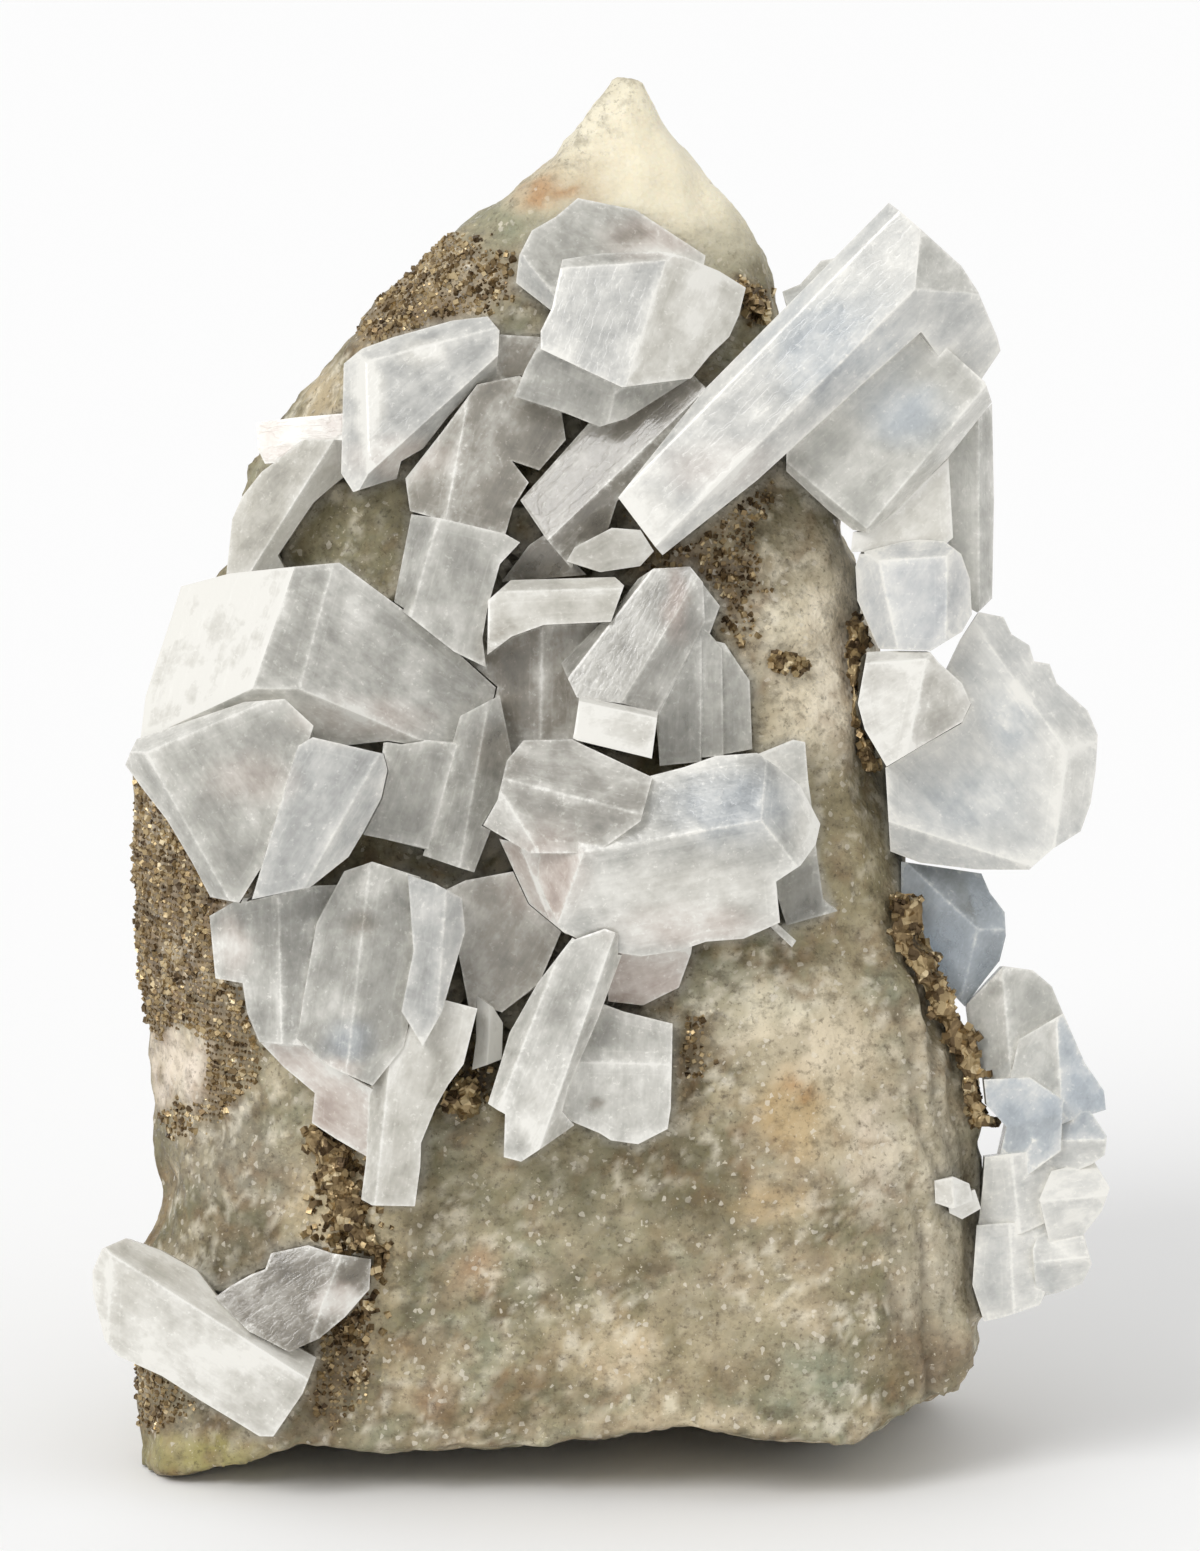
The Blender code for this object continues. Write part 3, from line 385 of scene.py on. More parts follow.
def apply_modifiers(obj):
    """Makes the modified form the object's own mesh."""
    bpy.context.view_layer.update()
    graph = bpy.context.evaluated_depsgraph_get()
    mesh = bpy.data.meshes.new_from_object(obj.evaluated_get(graph))
    obj.modifiers.clear()
    obj.data = mesh


def add_remesh(obj, voxel):
    """Adds an even mesh of this fineness to the modifiers."""
    remesh = obj.modifiers.new("fine", "REMESH")
    remesh.mode = "VOXEL"
    remesh.voxel_size = voxel


def rows(items, key, width=3, kind=float):
    """One property of every item, as the rows of an array."""
    values = np.empty(len(items) * width, dtype=kind)
    items.foreach_get(key, values)
    return values.reshape(-1, width)


# Colours of the rock by name
OLIVE = srgb(128, 123, 96)
DARK_OLIVE = srgb(118, 112, 82)
BROWN = srgb(116, 94, 66)
DARK = srgb(66, 52, 36)
TAN = srgb(192, 174, 140)
BEIGE = srgb(206, 190, 160)
CREAM = srgb(236, 228, 204)
ORANGE = srgb(178, 128, 76)
GREEN_GREY = srgb(138, 142, 116)

# Patches of the face: name, middle across and down, half width and height, colour, strength, druse
PATCHES = (
    ("tip", 655, 150, 150, 120, CREAM, 1.0, 0.0),
    ("tip left", 560, 185, 50, 30, BEIGE, 0.8, 0.1),
    ("tip stain", 542, 188, 24, 14, ORANGE, 0.7, 0.2),
    ("grey patch", 498, 222, 44, 22, GREEN_GREY, 0.8, 0.1),
    ("upper left druse", 440, 275, 84, 60, srgb(172, 156, 130), 0.9, 0.8),
    ("under druse", 410, 325, 70, 40, BROWN, 0.7, 0.7),
    ("left tan edge", 318, 395, 30, 42, TAN, 0.8, 0.2),
    ("upper olive", 370, 530, 90, 70, srgb(140, 134, 104), 0.85, 0.2),
    ("under prism", 700, 520, 90, 110, srgb(132, 116, 94), 0.9, 0.7),
    ("under prism end", 745, 610, 40, 60, BROWN, 0.7, 0.8),
    ("olive stripe", 800, 532, 34, 46, OLIVE, 0.6, 0.3),
    # painted highlight: the tan band is tan rock, lightened along the lit ridge
    ("tan band with painted highlight", 815, 650, 60, 120, srgb(240, 228, 202), 0.95, 0.1),
    ("tan spots", 780, 620, 30, 26, CREAM, 0.5, 0.2),
    # painted light: the upper tan made brighter over the crystals' shadow
    ("tan upper with painted light", 822, 612, 36, 34, srgb(250, 238, 212), 0.9, 0.0),
    ("edge grains", 752, 300, 22, 20, BROWN, 0.9, 0.9),
    # painted light: the flank's edge made brighter where it turns away from the lamp
    ("tan edge", 845, 640, 30, 120, srgb(250, 240, 220), 0.9, 0.0),
    ("band foot", 845, 820, 50, 70, srgb(150, 138, 108), 0.7, 0.3),
    ("olive flank", 835, 890, 50, 80, srgb(164, 152, 118), 0.8, 0.1),
    ("left druse", 190, 950, 80, 190, srgb(140, 122, 98), 0.95, 1.0),
    ("left druse top", 150, 800, 40, 90, srgb(140, 122, 98), 0.9, 0.9),
    ("cream patch", 170, 1070, 36, 32, srgb(236, 222, 204), 1.0, 0.0),
    ("grey green patch", 300, 1102, 16, 18, GREEN_GREY, 0.8, 0.1),
    ("blue grey patch", 240, 1165, 60, 44, srgb(136, 130, 114), 0.9, 0.3),
    ("lower green", 228, 1262, 60, 40, srgb(92, 86, 66), 0.9, 0.2),
    ("gold band", 345, 1225, 50, 120, srgb(236, 218, 180), 0.85, 0.55),
    ("gold foot", 335, 1370, 46, 70, BROWN, 0.7, 0.8),
    ("corner", 150, 1400, 60, 50, srgb(140, 128, 104), 0.8, 0.7),
    # painted shade: the hollow is coloured dark where shade falls in it
    ("hollow", 468, 1085, 30, 50, DARK, 0.95, 0.8),
    ("under middle", 640, 985, 50, 34, BROWN, 0.85, 0.8),
    ("under middle right", 690, 1050, 22, 44, BROWN, 0.7, 0.7),
    ("lower green field", 540, 1190, 150, 80, srgb(146, 140, 112), 0.7, 0.05),
    ("lower dark field", 690, 1170, 70, 60, srgb(112, 104, 76), 0.8, 0.1),
    ("lower dark olive", 700, 1330, 60, 40, srgb(120, 112, 82), 0.6, 0.1),
    ("field right of the crystals", 706, 1052, 38, 36, srgb(104, 90, 64), 0.85, 0.5),
    ("grey green above it", 710, 986, 36, 28, srgb(152, 150, 126), 0.8, 0.1),
    ("dark spot low", 710, 1208, 40, 20, srgb(96, 86, 60), 0.85, 0.2),
    ("beige streak", 775, 1206, 44, 16, srgb(196, 170, 130), 0.7, 0.1),
    ("orange bits", 474, 1268, 24, 22, srgb(172, 138, 104), 0.8, 0.3),
    ("cream bits", 620, 1354, 36, 26, srgb(212, 192, 162), 0.8, 0.1),
    ("dark low", 698, 1318, 46, 24, srgb(108, 102, 76), 0.8, 0.2),
    ("green low right", 815, 1380, 46, 40, srgb(140, 144, 122), 0.85, 0.1),
    ("brown foot", 438, 1400, 24, 22, srgb(132, 102, 72), 0.8, 0.4),
    ("cream chip", 672, 1407, 14, 9, CREAM, 0.9, 0.0),
    ("lower tan", 620, 1350, 90, 50, TAN, 0.5, 0.2),
    ("lower right tan", 760, 1290, 90, 60, BEIGE, 0.45, 0.1),
    # The cream lobe and its ridge: cream rock, lightened further as a painted highlight where light falls
    # on the ridge
    ("cream lobe", 815, 1080, 70, 100, srgb(202, 188, 160), 0.9, 0.0),
    ("cream lobe top", 770, 1010, 60, 34, CREAM, 0.7, 0.0),
    ("cream ridge", 808, 1050, 66, 34, srgb(222, 208, 182), 0.85, 0.0),
    ("cream ridge low", 876, 1150, 28, 64, srgb(226, 212, 190), 0.85, 0.0),
    ("lobe gold", 792, 1116, 36, 44, srgb(178, 148, 98), 0.75, 0.0),
    ("lobe stain", 802, 1092, 18, 12, ORANGE, 0.5, 0.0),
    ("flank", 935, 1200, 50, 170, srgb(196, 186, 164), 0.8, 0.1),
    ("flank foot", 920, 1360, 60, 40, BROWN, 0.6, 0.4),
    ("lip", 205, 1458, 70, 16, srgb(170, 160, 100), 0.7, 0.1),
    ("lip middle", 690, 1425, 120, 14, BEIGE, 0.6, 0.1),
)

# Mottling under the patches: colour, size in millimetres, seed, where it starts, its share
MOTTLES = (
    (srgb(150, 150, 126), 7.0, 41, -0.10, 0.65),
    (DARK_OLIVE, 5.0, 42, -0.02, 0.75),
    (BROWN, 3.2, 43, 0.04, 0.60),
    (srgb(166, 136, 98), 2.8, 44, 0.18, 0.35),
    (BEIGE, 3.6, 45, 0.12, 0.50),
    (DARK, 1.7, 46, 0.20, 0.40),
    (CREAM, 1.3, 47, 0.26, 0.35),
)

# Small bits over the patches, in the same columns
BITS = (
    (srgb(132, 102, 68), 1.5, 48, 0.14, 0.45),
    (srgb(124, 116, 84), 2.6, 50, 0.08, 0.40),
    (srgb(244, 236, 216), 1.1, 49, 0.18, 0.50),
)

# Colour of the grown contact under the crystals, pale also as painted light in the shaded gaps beside
# them
ROOT = srgb(196, 192, 180)

# Hollows that stay dark, without the pale contact and its painted light: middle across and down, reach
DARK_HOLLOWS = (
    (525, 470, 30),
    (567, 577, 22),
    (652, 560, 26),
    (500, 660, 34),
    (666, 762, 28),
    (472, 1040, 32),
    (468, 1100, 40),
    (370, 845, 24),
    (900, 960, 60),
)

# Rock: the CAD solid with a fine broken skin
ROCK_VOXEL = 0.00049
TIP_Y = 300
ROOT_TOP_Y = 280
REACH = 0.002
ROOT_NEAR = 0.0008
PULL_NEAR = 0.0007
NEAR_FADE = 0.0004
RELIEF = 0.8
SKIN_ROOM = 0.001
FOOT_FADE = 0.0012
FOOT_TOP = 0.002
FRACTAL = 5

# How far the borders of the patches stray, in steps, and over what size in millimetres
STRAYS = ((16, 2.2), (9, 0.9))


def crystal_tree_of():
    """All crystals as one search tree, to find the rock that touches them."""
    points = []
    faces = []
    for name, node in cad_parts.items():
        if name.startswith("barite"):
            start = len(points)
            points.extend(node.matrix_world @ v.co for v in node.data.vertices)
            faces.extend([start + i for i in p.vertices] for p in node.data.polygons)
    return BVHTree.FromPolygons(points, faces)


crystal_tree = crystal_tree_of()


def nearest_crystal(co):
    """How far each point is from the crystals and their nearest spot, or REACH and the point itself."""
    found = [crystal_tree.find_nearest(Vector(p), REACH) for p in co]
    away = np.array([REACH if hit[0] is None else hit[3] for hit in found])
    spots = np.array([p if hit[0] is None else hit[0] for p, hit in zip(co, found)])
    return away, spots


def stray(co, seed):
    """How far the borders of the patches stray at each point, in steps."""
    return sum(far * noise_at(co, size, seed + i) for i, (far, size) in enumerate(STRAYS))


def rock_patches(co, x, y, front):
    """Colour and druse of each point: mottles first, the named patches over them, then bits."""
    tint = np.repeat(OLIVE[None], len(co), axis=0)
    for colour, size, seed, least, most in MOTTLES:
        share = most * rise(noise_at(co, size, seed, FRACTAL), least, 0.32) * rise(y, 240, 90)
        tint = blend(tint, colour, share)
    druse = 0.15 + 0.25 * np.clip(noise_at(co, 5.0, 6), 0, 1)
    shifted_x = x + stray(co, 1)
    shifted_y = y + stray(co, 3)
    for _, mid_x, mid_y, half_x, half_y, colour, strength, rough in PATCHES:
        away = np.sqrt(((shifted_x - mid_x) / half_x) ** 2 + ((shifted_y - mid_y) / half_y) ** 2)
        share = strength * fall(away, 1.35, 0.8) * np.where(y < TIP_Y, 1.0, front)
        tint = blend(tint, colour, share)
        druse = druse * (1 - share) + rough * share
    for colour, size, seed, least, most in BITS:
        share = most * rise(noise_at(co, size, seed, FRACTAL), least, 0.25) * rise(y, 260, 90)
        crowd = np.clip(0.45 + 2.2 * noise_at(co, 7.0, seed + 20), 0, 1)
        tint = blend(tint, colour, share * crowd * (0.35 + 0.65 * front))
    return tint, druse


def contact_and_gap_light_share(x, y, near_crystal):
    """How far each point takes the colour of the grown contact, which also paints light into the shaded
    gaps by the crystals.
    """
    share = 0.9 * fall(near_crystal, ROOT_NEAR, NEAR_FADE) * np.where(y > ROOT_TOP_Y, 1.0, 0.5)
    for mid_x, mid_y, reach in DARK_HOLLOWS:
        share *= rise(np.hypot(x - mid_x, y - mid_y), reach, 12)
    return share


def flank_grooves(co, x, y, depth):
    """Grooves that run down the right flank: below 0 in a groove, above 0 on a rib."""
    bent = x - 0.16 * (y - 950) + 12 * noise_at(co, 6.0, 14)
    drawn_out = np.stack([bent * STEP, y * STEP * 0.07, depth * 0.05 * MM], axis=1)
    return noise_at(drawn_out, 0.9, 17, 3) * 2.2


def rock_relief(co, druse, front):
    """Lumps, broken facets and grains of the skin, in millimetres."""
    lump = 0.42 * noise_at(co, 4.5, 8) + 0.22 * noise_at(co, 1.9, 9) + 0.10 * noise_at(co, 0.9, 10)
    facets = 0.55 * (0.45 - cells_at(co, 3.4, 11)) + 0.30 * (0.45 - cells_at(co, 1.4, 12))
    back = np.clip(1 - 1.6 * front, 0, 1)
    facets = facets + back * (0.9 * (0.5 - cells_at(co, 8.0, 15)) + 0.8 * noise_at(co, 7.0, 16))
    grains = 0.40 * (0.42 - cells_at(co, 0.75, 13))
    return lump + facets * (1 - 0.5 * druse) + grains * druse


def rock_skin():
    """The rock's fine skin, drawn up to the crystals that touch it, with its druse and front."""
    rock = copy_of("rock", "rock_skin")
    add_remesh(rock, ROCK_VOXEL)
    apply_modifiers(rock)
    mesh = rock.data
    co = rows(mesh.vertices, "co")
    normals = rows(mesh.vertex_normals, "vector")
    x, y, depth = face_steps(co)
    front = np.clip((normals @ np.array(OUT)) * 2 + 0.6, 0, 1)
    tint, druse = rock_patches(co, x, y, front)
    near_crystal, contact = nearest_crystal(co)
    socket = contact_and_gap_light_share(x, y, near_crystal)
    # pale contact near the crystals: partly their grown contact, partly painted light in the shaded gaps
    tint = blend(tint, ROOT, socket)
    druse = druse * (1 - socket)
    flank = rise(x, 870, 50) * rise(y, 930, 80) * front
    grooves = flank_grooves(co, x, y, depth)
    # painted shade: the flank's colour is darkened in its grooves
    tint = tint * (1 - 0.35 * flank * np.clip(0.1 - grooves, 0, 1))[:, None]
    clear = fall(y, 300, 90) * rise(x + 0.9 * y, 690, 60)
    height = rock_relief(co, druse, front) + 0.26 * grooves * flank
    height = height * (1 - 0.55 * clear) * np.clip(co[:, 2] / FOOT_FADE, 0, 1)
    co += normals * (height[:, None] * MM * RELIEF)
    pull = 0.95 * fall(near_crystal, PULL_NEAR, NEAR_FADE) * (co[:, 2] > FOOT_TOP)
    co += (contact - co) * pull[:, None]
    co[:, 2] = np.maximum(co[:, 2], 0.0)
    co = np.clip(co, np.array(cad_box[0]) - SKIN_ROOM, np.array(cad_box[1]) + SKIN_ROOM)
    mesh.vertices.foreach_set("co", co.ravel())
    colours = mesh.attributes.new("tint", "FLOAT_COLOR", "POINT")
    colours.data.foreach_set("color", np.hstack([tint, np.ones((len(co), 1))]).ravel())
    for name, values in (("druse", druse), ("clear", clear)):
        mesh.attributes.new(name, "FLOAT", "POINT").data.foreach_set("value", values)
    mesh.shade_smooth()
    mesh.update()
    mesh.materials.clear()
    mesh.materials.append(rock_material())
    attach(rock, "root")
    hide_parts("rock")
    return rock, co, druse, front


rock, rock_points, rock_druse, rock_front = rock_skin()
rock_tree = BVHTree.FromPolygons(
    [tuple(v.co) for v in rock.data.vertices], [tuple(p.vertices) for p in rock.data.polygons]
)
pyrite = pyrite_material()


# Pyrite: grains over the rock, and a crust over the form of each CAD solid
def cubes_mesh(name, spots, sizes):
    """Joined small cubes at these world points, each turned its own way."""
    corners = np.array([(i, j, k) for i in (-0.5, 0.5) for j in (-0.5, 0.5) for k in (-0.5, 0.5)])
    quads = np.array([(0, 1, 3, 2), (4, 6, 7, 5), (0, 4, 5, 1), (2, 3, 7, 6), (0, 2, 6, 4), (1, 5, 7, 3)])
    points = []
    faces = []
    for i, (spot, size) in enumerate(zip(spots, sizes)):
        lean = Vector(rng.normal(size=3)).to_track_quat("Z", "Y").to_matrix()
        turn = np.array(lean @ Matrix.Rotation(rng.uniform(0, 3), 3, "Z"))
        points.append(corners * size * MM @ turn.T + spot)
        faces.append(quads + len(corners) * i)
    mesh = bpy.data.meshes.new(name)
    mesh.from_pydata(np.concatenate(points).tolist(), [], np.concatenate(faces).tolist())
    mesh.materials.append(pyrite)
    made = bpy.data.objects.new(name, mesh)
    bpy.context.scene.collection.objects.link(made)
    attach(made, "root")


DRUSE_GRAINS = 3400
DRUSE_LEAST = 0.45
BAND_GRAINS = 420
BAND_TOP_Y = 1120
BAND_FOOT_Y = 1345
BAND_MID_X = 348
BAND_SPREAD = 16
ABOVE_FACE = 40
CRUST_VOXEL = 0.00022


def druse_grains():
    """Fine pyrite over the druse of the rock's front."""
    weight = np.clip(rock_druse - DRUSE_LEAST, 0, 1) * (rock_front > 0.5)
    weight *= (rock_points[:, 2] > FOOT_TOP)
    count = min(DRUSE_GRAINS, np.count_nonzero(weight))
    picks = rng.choice(len(rock_points), size=count, replace=False, p=weight / weight.sum())
    sizes = 0.12 + 0.30 * rng.random(size=len(picks)) ** 2
    cubes_mesh("pyrite_druse", rock_points[picks], sizes)


def band_grains():
    """Loose grains beside the band at the lower left."""
    spots = []
    while len(spots) < BAND_GRAINS:
        y = rng.uniform(BAND_TOP_Y, BAND_FOOT_Y)
        x = rng.normal(BAND_MID_X, BAND_SPREAD)
        spot, _, _, _ = rock_tree.ray_cast(place(x, y, ABOVE_FACE), -OUT)
        if spot:
            spots.append(np.array(spot))
    cubes_mesh("pyrite_band_scatter", spots, rng.uniform(0.2, 0.5, size=len(spots)))


def crust(node, count, low, high, sunk):
    """Finer grains grown over the form of one CAD crust."""
    core = copy_of(node, node + "_crust")
    add_remesh(core, CRUST_VOXEL)
    smooth = core.modifiers.new("soft", "SMOOTH")
    smooth.factor = 0.8
    smooth.iterations = 3
    apply_modifiers(core)
    points = np.array([tuple(v.co) for v in core.data.vertices])
    height = 0.22 * (0.4 - cells_at(points, 0.7, 21)) + 0.08 * noise_at(points, 0.4, 22) - sunk
    normals = np.array([tuple(v.vector) for v in core.data.vertex_normals])
    points = points + normals * height[:, None] * MM
    core.data.vertices.foreach_set("co", points.ravel())
    core.data.update()
    core.data.materials.clear()
    core.data.materials.append(pyrite)
    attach(core, "root")
    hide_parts(node)
    picks = rng.choice(len(points), size=min(count, len(points)), replace=False)
    cubes_mesh(node + "_grains", points[picks], rng.uniform(low, high, size=len(picks)))


# Each crust: its node, how many grains, their least and greatest size, and how far it is sunk
CRUSTS = (
    ("pyrite_seam_upper", 60, 0.2, 0.5, 0.15),
    ("pyrite_seam_lower", 160, 0.2, 0.55, 0.35),
    ("pyrite_band", 120, 0.2, 0.5, 0.25),
    ("pyrite_nodule", 40, 0.25, 0.6, 0.0),
    ("pyrite_spot", 30, 0.3, 0.6, 0.0),
    ("pyrite_edge_grains", 30, 0.3, 0.6, 0.0),
)
druse_grains()
band_grains()
for crust_values in CRUSTS:
    crust(*crust_values)

# Barite. Colours by name
ICE = srgb(222, 222, 218)
BLUE = srgb(206, 213, 219)
DEEP = srgb(186, 195, 203)
GREY = srgb(214, 212, 203)
SMOKE = srgb(188, 181, 168)
ROSE = srgb(228, 210, 198)
IVORY = srgb(225, 221, 209)

# Each crystal: group, middle across and down, half length and width, turn of its growth, tint, milk
CRYSTALS = (
    ("barite_long_prism_group", 780, 390, 170, 42, 45, ICE, 0.52),
    ("barite_long_prism_group", 965, 310, 50, 45, 45, GREY, 0.45),
    ("barite_long_prism_group", 885, 440, 95, 60, 45, GREY, 0.44),
    ("barite_long_prism_group", 972, 520, 100, 24, 90, GREY, 0.40),
    ("barite_long_prism_group", 910, 520, 30, 30, 45, IVORY, 0.60),
    ("barite_long_prism_group", 810, 285, 30, 14, 45, GREY, 0.35),
    ("barite_middle_block_group", 690, 845, 130, 90, 12, srgb(208, 207, 200), 0.46),
    ("barite_middle_block_group", 570, 800, 80, 55, -8, srgb(204, 200, 190), 0.46),
    ("barite_middle_block_group", 560, 890, 50, 50, -60, ROSE, 0.45),
    ("barite_middle_block_group", 800, 850, 100, 22, 85, GREY, 0.25),
    ("barite_middle_block_group", 650, 970, 40, 40, 20, ROSE, 0.35),
    ("barite_left_block_group", 220, 650, 75, 60, 72, srgb(206, 202, 189), 0.74),
    ("barite_left_block_group", 385, 660, 115, 70, -32, GREY, 0.50),
    ("barite_left_block_group", 215, 790, 110, 60, -55, GREY, 0.47),
    ("barite_left_block_group", 325, 815, 85, 40, 58, ICE, 0.42),
    ("barite_crown_group", 600, 245, 60, 45, -35, GREY, 0.42),
    ("barite_crown_group", 610, 320, 75, 60, 68, ICE, 0.47),
    ("barite_crown_group", 700, 320, 50, 55, 60, IVORY, 0.50),
    ("barite_crown_group", 600, 385, 80, 35, 70, GREY, 0.35),
    ("barite_crown_group", 620, 480, 110, 45, 45, srgb(172, 166, 154), 0.36),
    ("barite_crown_group", 610, 550, 40, 20, 20, IVORY, 0.50),
    ("barite_crown_group", 480, 450, 80, 60, 60, srgb(188, 182, 169), 0.41),
    ("barite_crown_group", 540, 560, 40, 20, 60, SMOKE, 0.10),
    ("barite_upper_left_group", 420, 390, 90, 60, 35, ICE, 0.45),
    ("barite_upper_left_group", 305, 440, 50, 25, 0, ROSE, 0.50),
    ("barite_upper_left_group", 290, 510, 80, 30, 50, IVORY, 0.45),
    ("barite_upper_left_group", 515, 370, 35, 35, 60, SMOKE, 0.30),
    ("barite_centre_group", 460, 585, 80, 50, 75, GREY, 0.40),
    ("barite_centre_group", 555, 605, 65, 24, 5, IVORY, 0.50),
    ("barite_centre_group", 530, 690, 70, 50, 90, SMOKE, 0.42),
    ("barite_centre_group", 640, 640, 75, 50, 60, srgb(206, 203, 194), 0.33),
    ("barite_centre_group", 705, 690, 90, 45, 88, GREY, 0.30),
    ("barite_centre_group", 615, 728, 40, 25, 10, IVORY, 0.72),
    ("barite_centre_group", 420, 790, 60, 45, 70, GREY, 0.44),
    ("barite_centre_group", 475, 785, 85, 32, 70, GREY, 0.30),
    ("barite_lower_group", 275, 960, 80, 55, 85, GREY, 0.42),
    ("barite_lower_group", 370, 965, 105, 60, 75, GREY, 0.36),
    ("barite_lower_group", 435, 950, 80, 28, 80, ICE, 0.36),
    ("barite_lower_group", 410, 1110, 105, 42, 72, IVORY, 0.42),
    ("barite_lower_group", 325, 1095, 60, 35, -40, ROSE, 0.48),
    ("barite_lower_group", 505, 945, 70, 45, 60, srgb(196, 190, 178), 0.36),
    ("barite_lower_group", 489, 1035, 35, 14, 85, IVORY, 0.70),
    ("barite_lower_group", 560, 1035, 120, 40, 65, GREY, 0.46),
    ("barite_lower_group", 625, 1075, 70, 50, 88, GREY, 0.50),
    ("barite_right_upper_crystal", 915, 595, 60, 55, 60, srgb(216, 218, 219), 0.50),
    ("barite_right_middle_crystal", 915, 705, 60, 55, 30, srgb(218, 214, 204), 0.56),
    ("barite_right_block", 990, 750, 130, 100, -48, ICE, 0.51),
    ("barite_right_dark_crystal", 955, 930, 70, 50, 60, srgb(186, 192, 196), 0.13),
    ("barite_knobby_group", 1020, 1020, 60, 50, 60, GREY, 0.42),
    ("barite_knobby_group", 1060, 1090, 60, 45, 50, BLUE, 0.42),
    ("barite_knobby_group", 1040, 1190, 90, 60, 20, ICE, 0.54),
    ("barite_knobby_group", 1030, 1270, 60, 55, 10, ICE, 0.54),
    ("barite_corner_pair", 200, 1340, 125, 45, -32, IVORY, 0.62),
    ("barite_corner_pair", 295, 1295, 80, 40, 35, srgb(162, 154, 139), 0.36),
    ("barite_flank_crystals", 955, 1195, 25, 20, 0, IVORY, 0.6),
)

# Patches of the crystals: name, middle across and down, half width and height, tint, share, milk added
CRYSTAL_PATCHES = (
    ("prism blue", 830, 350, 70, 50, BLUE, 0.7, 0.0),
    ("prism rim", 720, 470, 60, 24, ROSE, 0.5, 0.1),
    ("prism foot", 645, 520, 30, 26, IVORY, 0.7, 0.25),
    ("broad prism blue", 905, 415, 40, 30, BLUE, 0.8, -0.03),
    ("block blue", 730, 805, 60, 34, BLUE, 0.8, -0.05),
    ("block cream", 690, 890, 90, 30, IVORY, 0.7, 0.15),
    ("block rose", 690, 925, 70, 20, ROSE, 0.8, 0.1),
    ("block rose left", 545, 870, 40, 40, ROSE, 0.8, 0.05),
    ("block edge white", 808, 820, 14, 40, IVORY, 0.8, 0.3),
    ("left block rose", 365, 720, 60, 20, ROSE, 0.8, 0.1),
    ("left face cream", 200, 600, 80, 30, IVORY, 0.5, 0.1),
    ("left front rose", 255, 780, 40, 24, ROSE, 0.5, 0.0),
    ("left front dark", 225, 830, 40, 40, GREY, 0.4, -0.1),
    ("upper left veil", 370, 400, 14, 34, IVORY, 1.0, 0.45),
    ("upper left light", 424, 354, 20, 14, IVORY, 0.9, 0.35),
    ("upper left rose", 400, 460, 50, 18, ROSE, 0.7, 0.15),
    ("stub rose", 275, 438, 22, 14, ROSE, 0.8, 0.1),
    ("crown rose", 660, 240, 50, 20, ROSE, 0.8, 0.1),
    ("crown dark specks", 632, 238, 16, 8, SMOKE, 0.7, -0.1),
    ("crown white", 700, 300, 34, 30, IVORY, 0.8, 0.25),
    ("smoky hollow", 500, 660, 24, 34, SMOKE, 0.7, -0.1),
    ("smoky foot", 500, 750, 26, 24, SMOKE, 0.7, -0.1),
    ("striped rose", 676, 600, 12, 40, ROSE, 0.8, 0.05),
    ("lower dark", 362, 925, 12, 14, SMOKE, 0.9, -0.1),
    ("lower cream", 235, 945, 16, 30, ROSE, 0.8, 0.2),
    ("lower rose edge", 320, 1070, 34, 14, ROSE, 0.9, 0.2),
    ("lower white", 410, 1060, 26, 26, IVORY, 0.6, 0.2),
    ("lower blue", 350, 1040, 24, 20, BLUE, 0.7, 0.0),
    ("small dark spot", 596, 1102, 9, 7, SMOKE, 0.9, -0.2),
    ("hanging white", 540, 1110, 20, 40, IVORY, 0.6, 0.2),
    ("right block teal", 1008, 722, 24, 30, DEEP, 0.7, 0.0),
    ("right block low", 960, 800, 60, 30, DEEP, 0.4, -0.05),
    ("right block edge", 1070, 770, 24, 50, IVORY, 0.5, 0.15),
    ("dark left", 940, 945, 30, 30, DEEP, 0.7, -0.1),
    ("slab sheen", 200, 1360, 90, 20, IVORY, 0.7, 0.2),
    ("pair cream", 342, 1300, 22, 16, ROSE, 1.0, 0.35),
)

CRYSTAL_EDGE = 0.0009
MOST_CUTS = 5
WELD = 0.000002
SAME_FACET = math.radians(1.5)
FAR = 0.01
AT_ONCE = 400
CRYSTAL_SWELL = 0.00013
MILK_MORE = -0.08
FACET_LIGHT_SPREAD = 0.045
FACET_MILK_SPREAD = 0.05
GROW_APART = 40


def mark_facets(mesh):
    """Numbers the flat facets of a crystal group, so that each keeps one look."""
    bm = bmesh.new()
    bm.from_mesh(mesh)
    bmesh.ops.remove_doubles(bm, verts=bm.verts, dist=WELD)
    bm.normal_update()
    facet = bm.faces.layers.int.new("facet")
    number = 0
    for seed in bm.faces:
        if seed[facet]:
            continue
        number += 1
        seed[facet] = number
        rest = [seed]
        while rest:
            face = rest.pop()
            for edge in face.edges:
                if len(edge.link_faces) == 2 and edge.calc_face_angle(0) < SAME_FACET:
                    for other in edge.link_faces:
                        if not other[facet]:
                            other[facet] = number
                            rest.append(other)
    bm.to_mesh(mesh)
    bm.free()
    return number + 1


def cut_fine(mesh):
    """Cuts the facets into small triangles, whose corners can carry values of their own."""
    bm = bmesh.new()
    bm.from_mesh(mesh)
    bmesh.ops.triangulate(bm, faces=bm.faces)
    for _ in range(MOST_CUTS):
        long_edges = [e for e in bm.edges if e.calc_length() > CRYSTAL_EDGE]
        if not long_edges:
            break
        bmesh.ops.subdivide_edges(bm, edges=long_edges, cuts=1, use_grid_fill=False)
        bmesh.ops.triangulate(bm, faces=bm.faces)
    bm.to_mesh(mesh)
    bm.free()


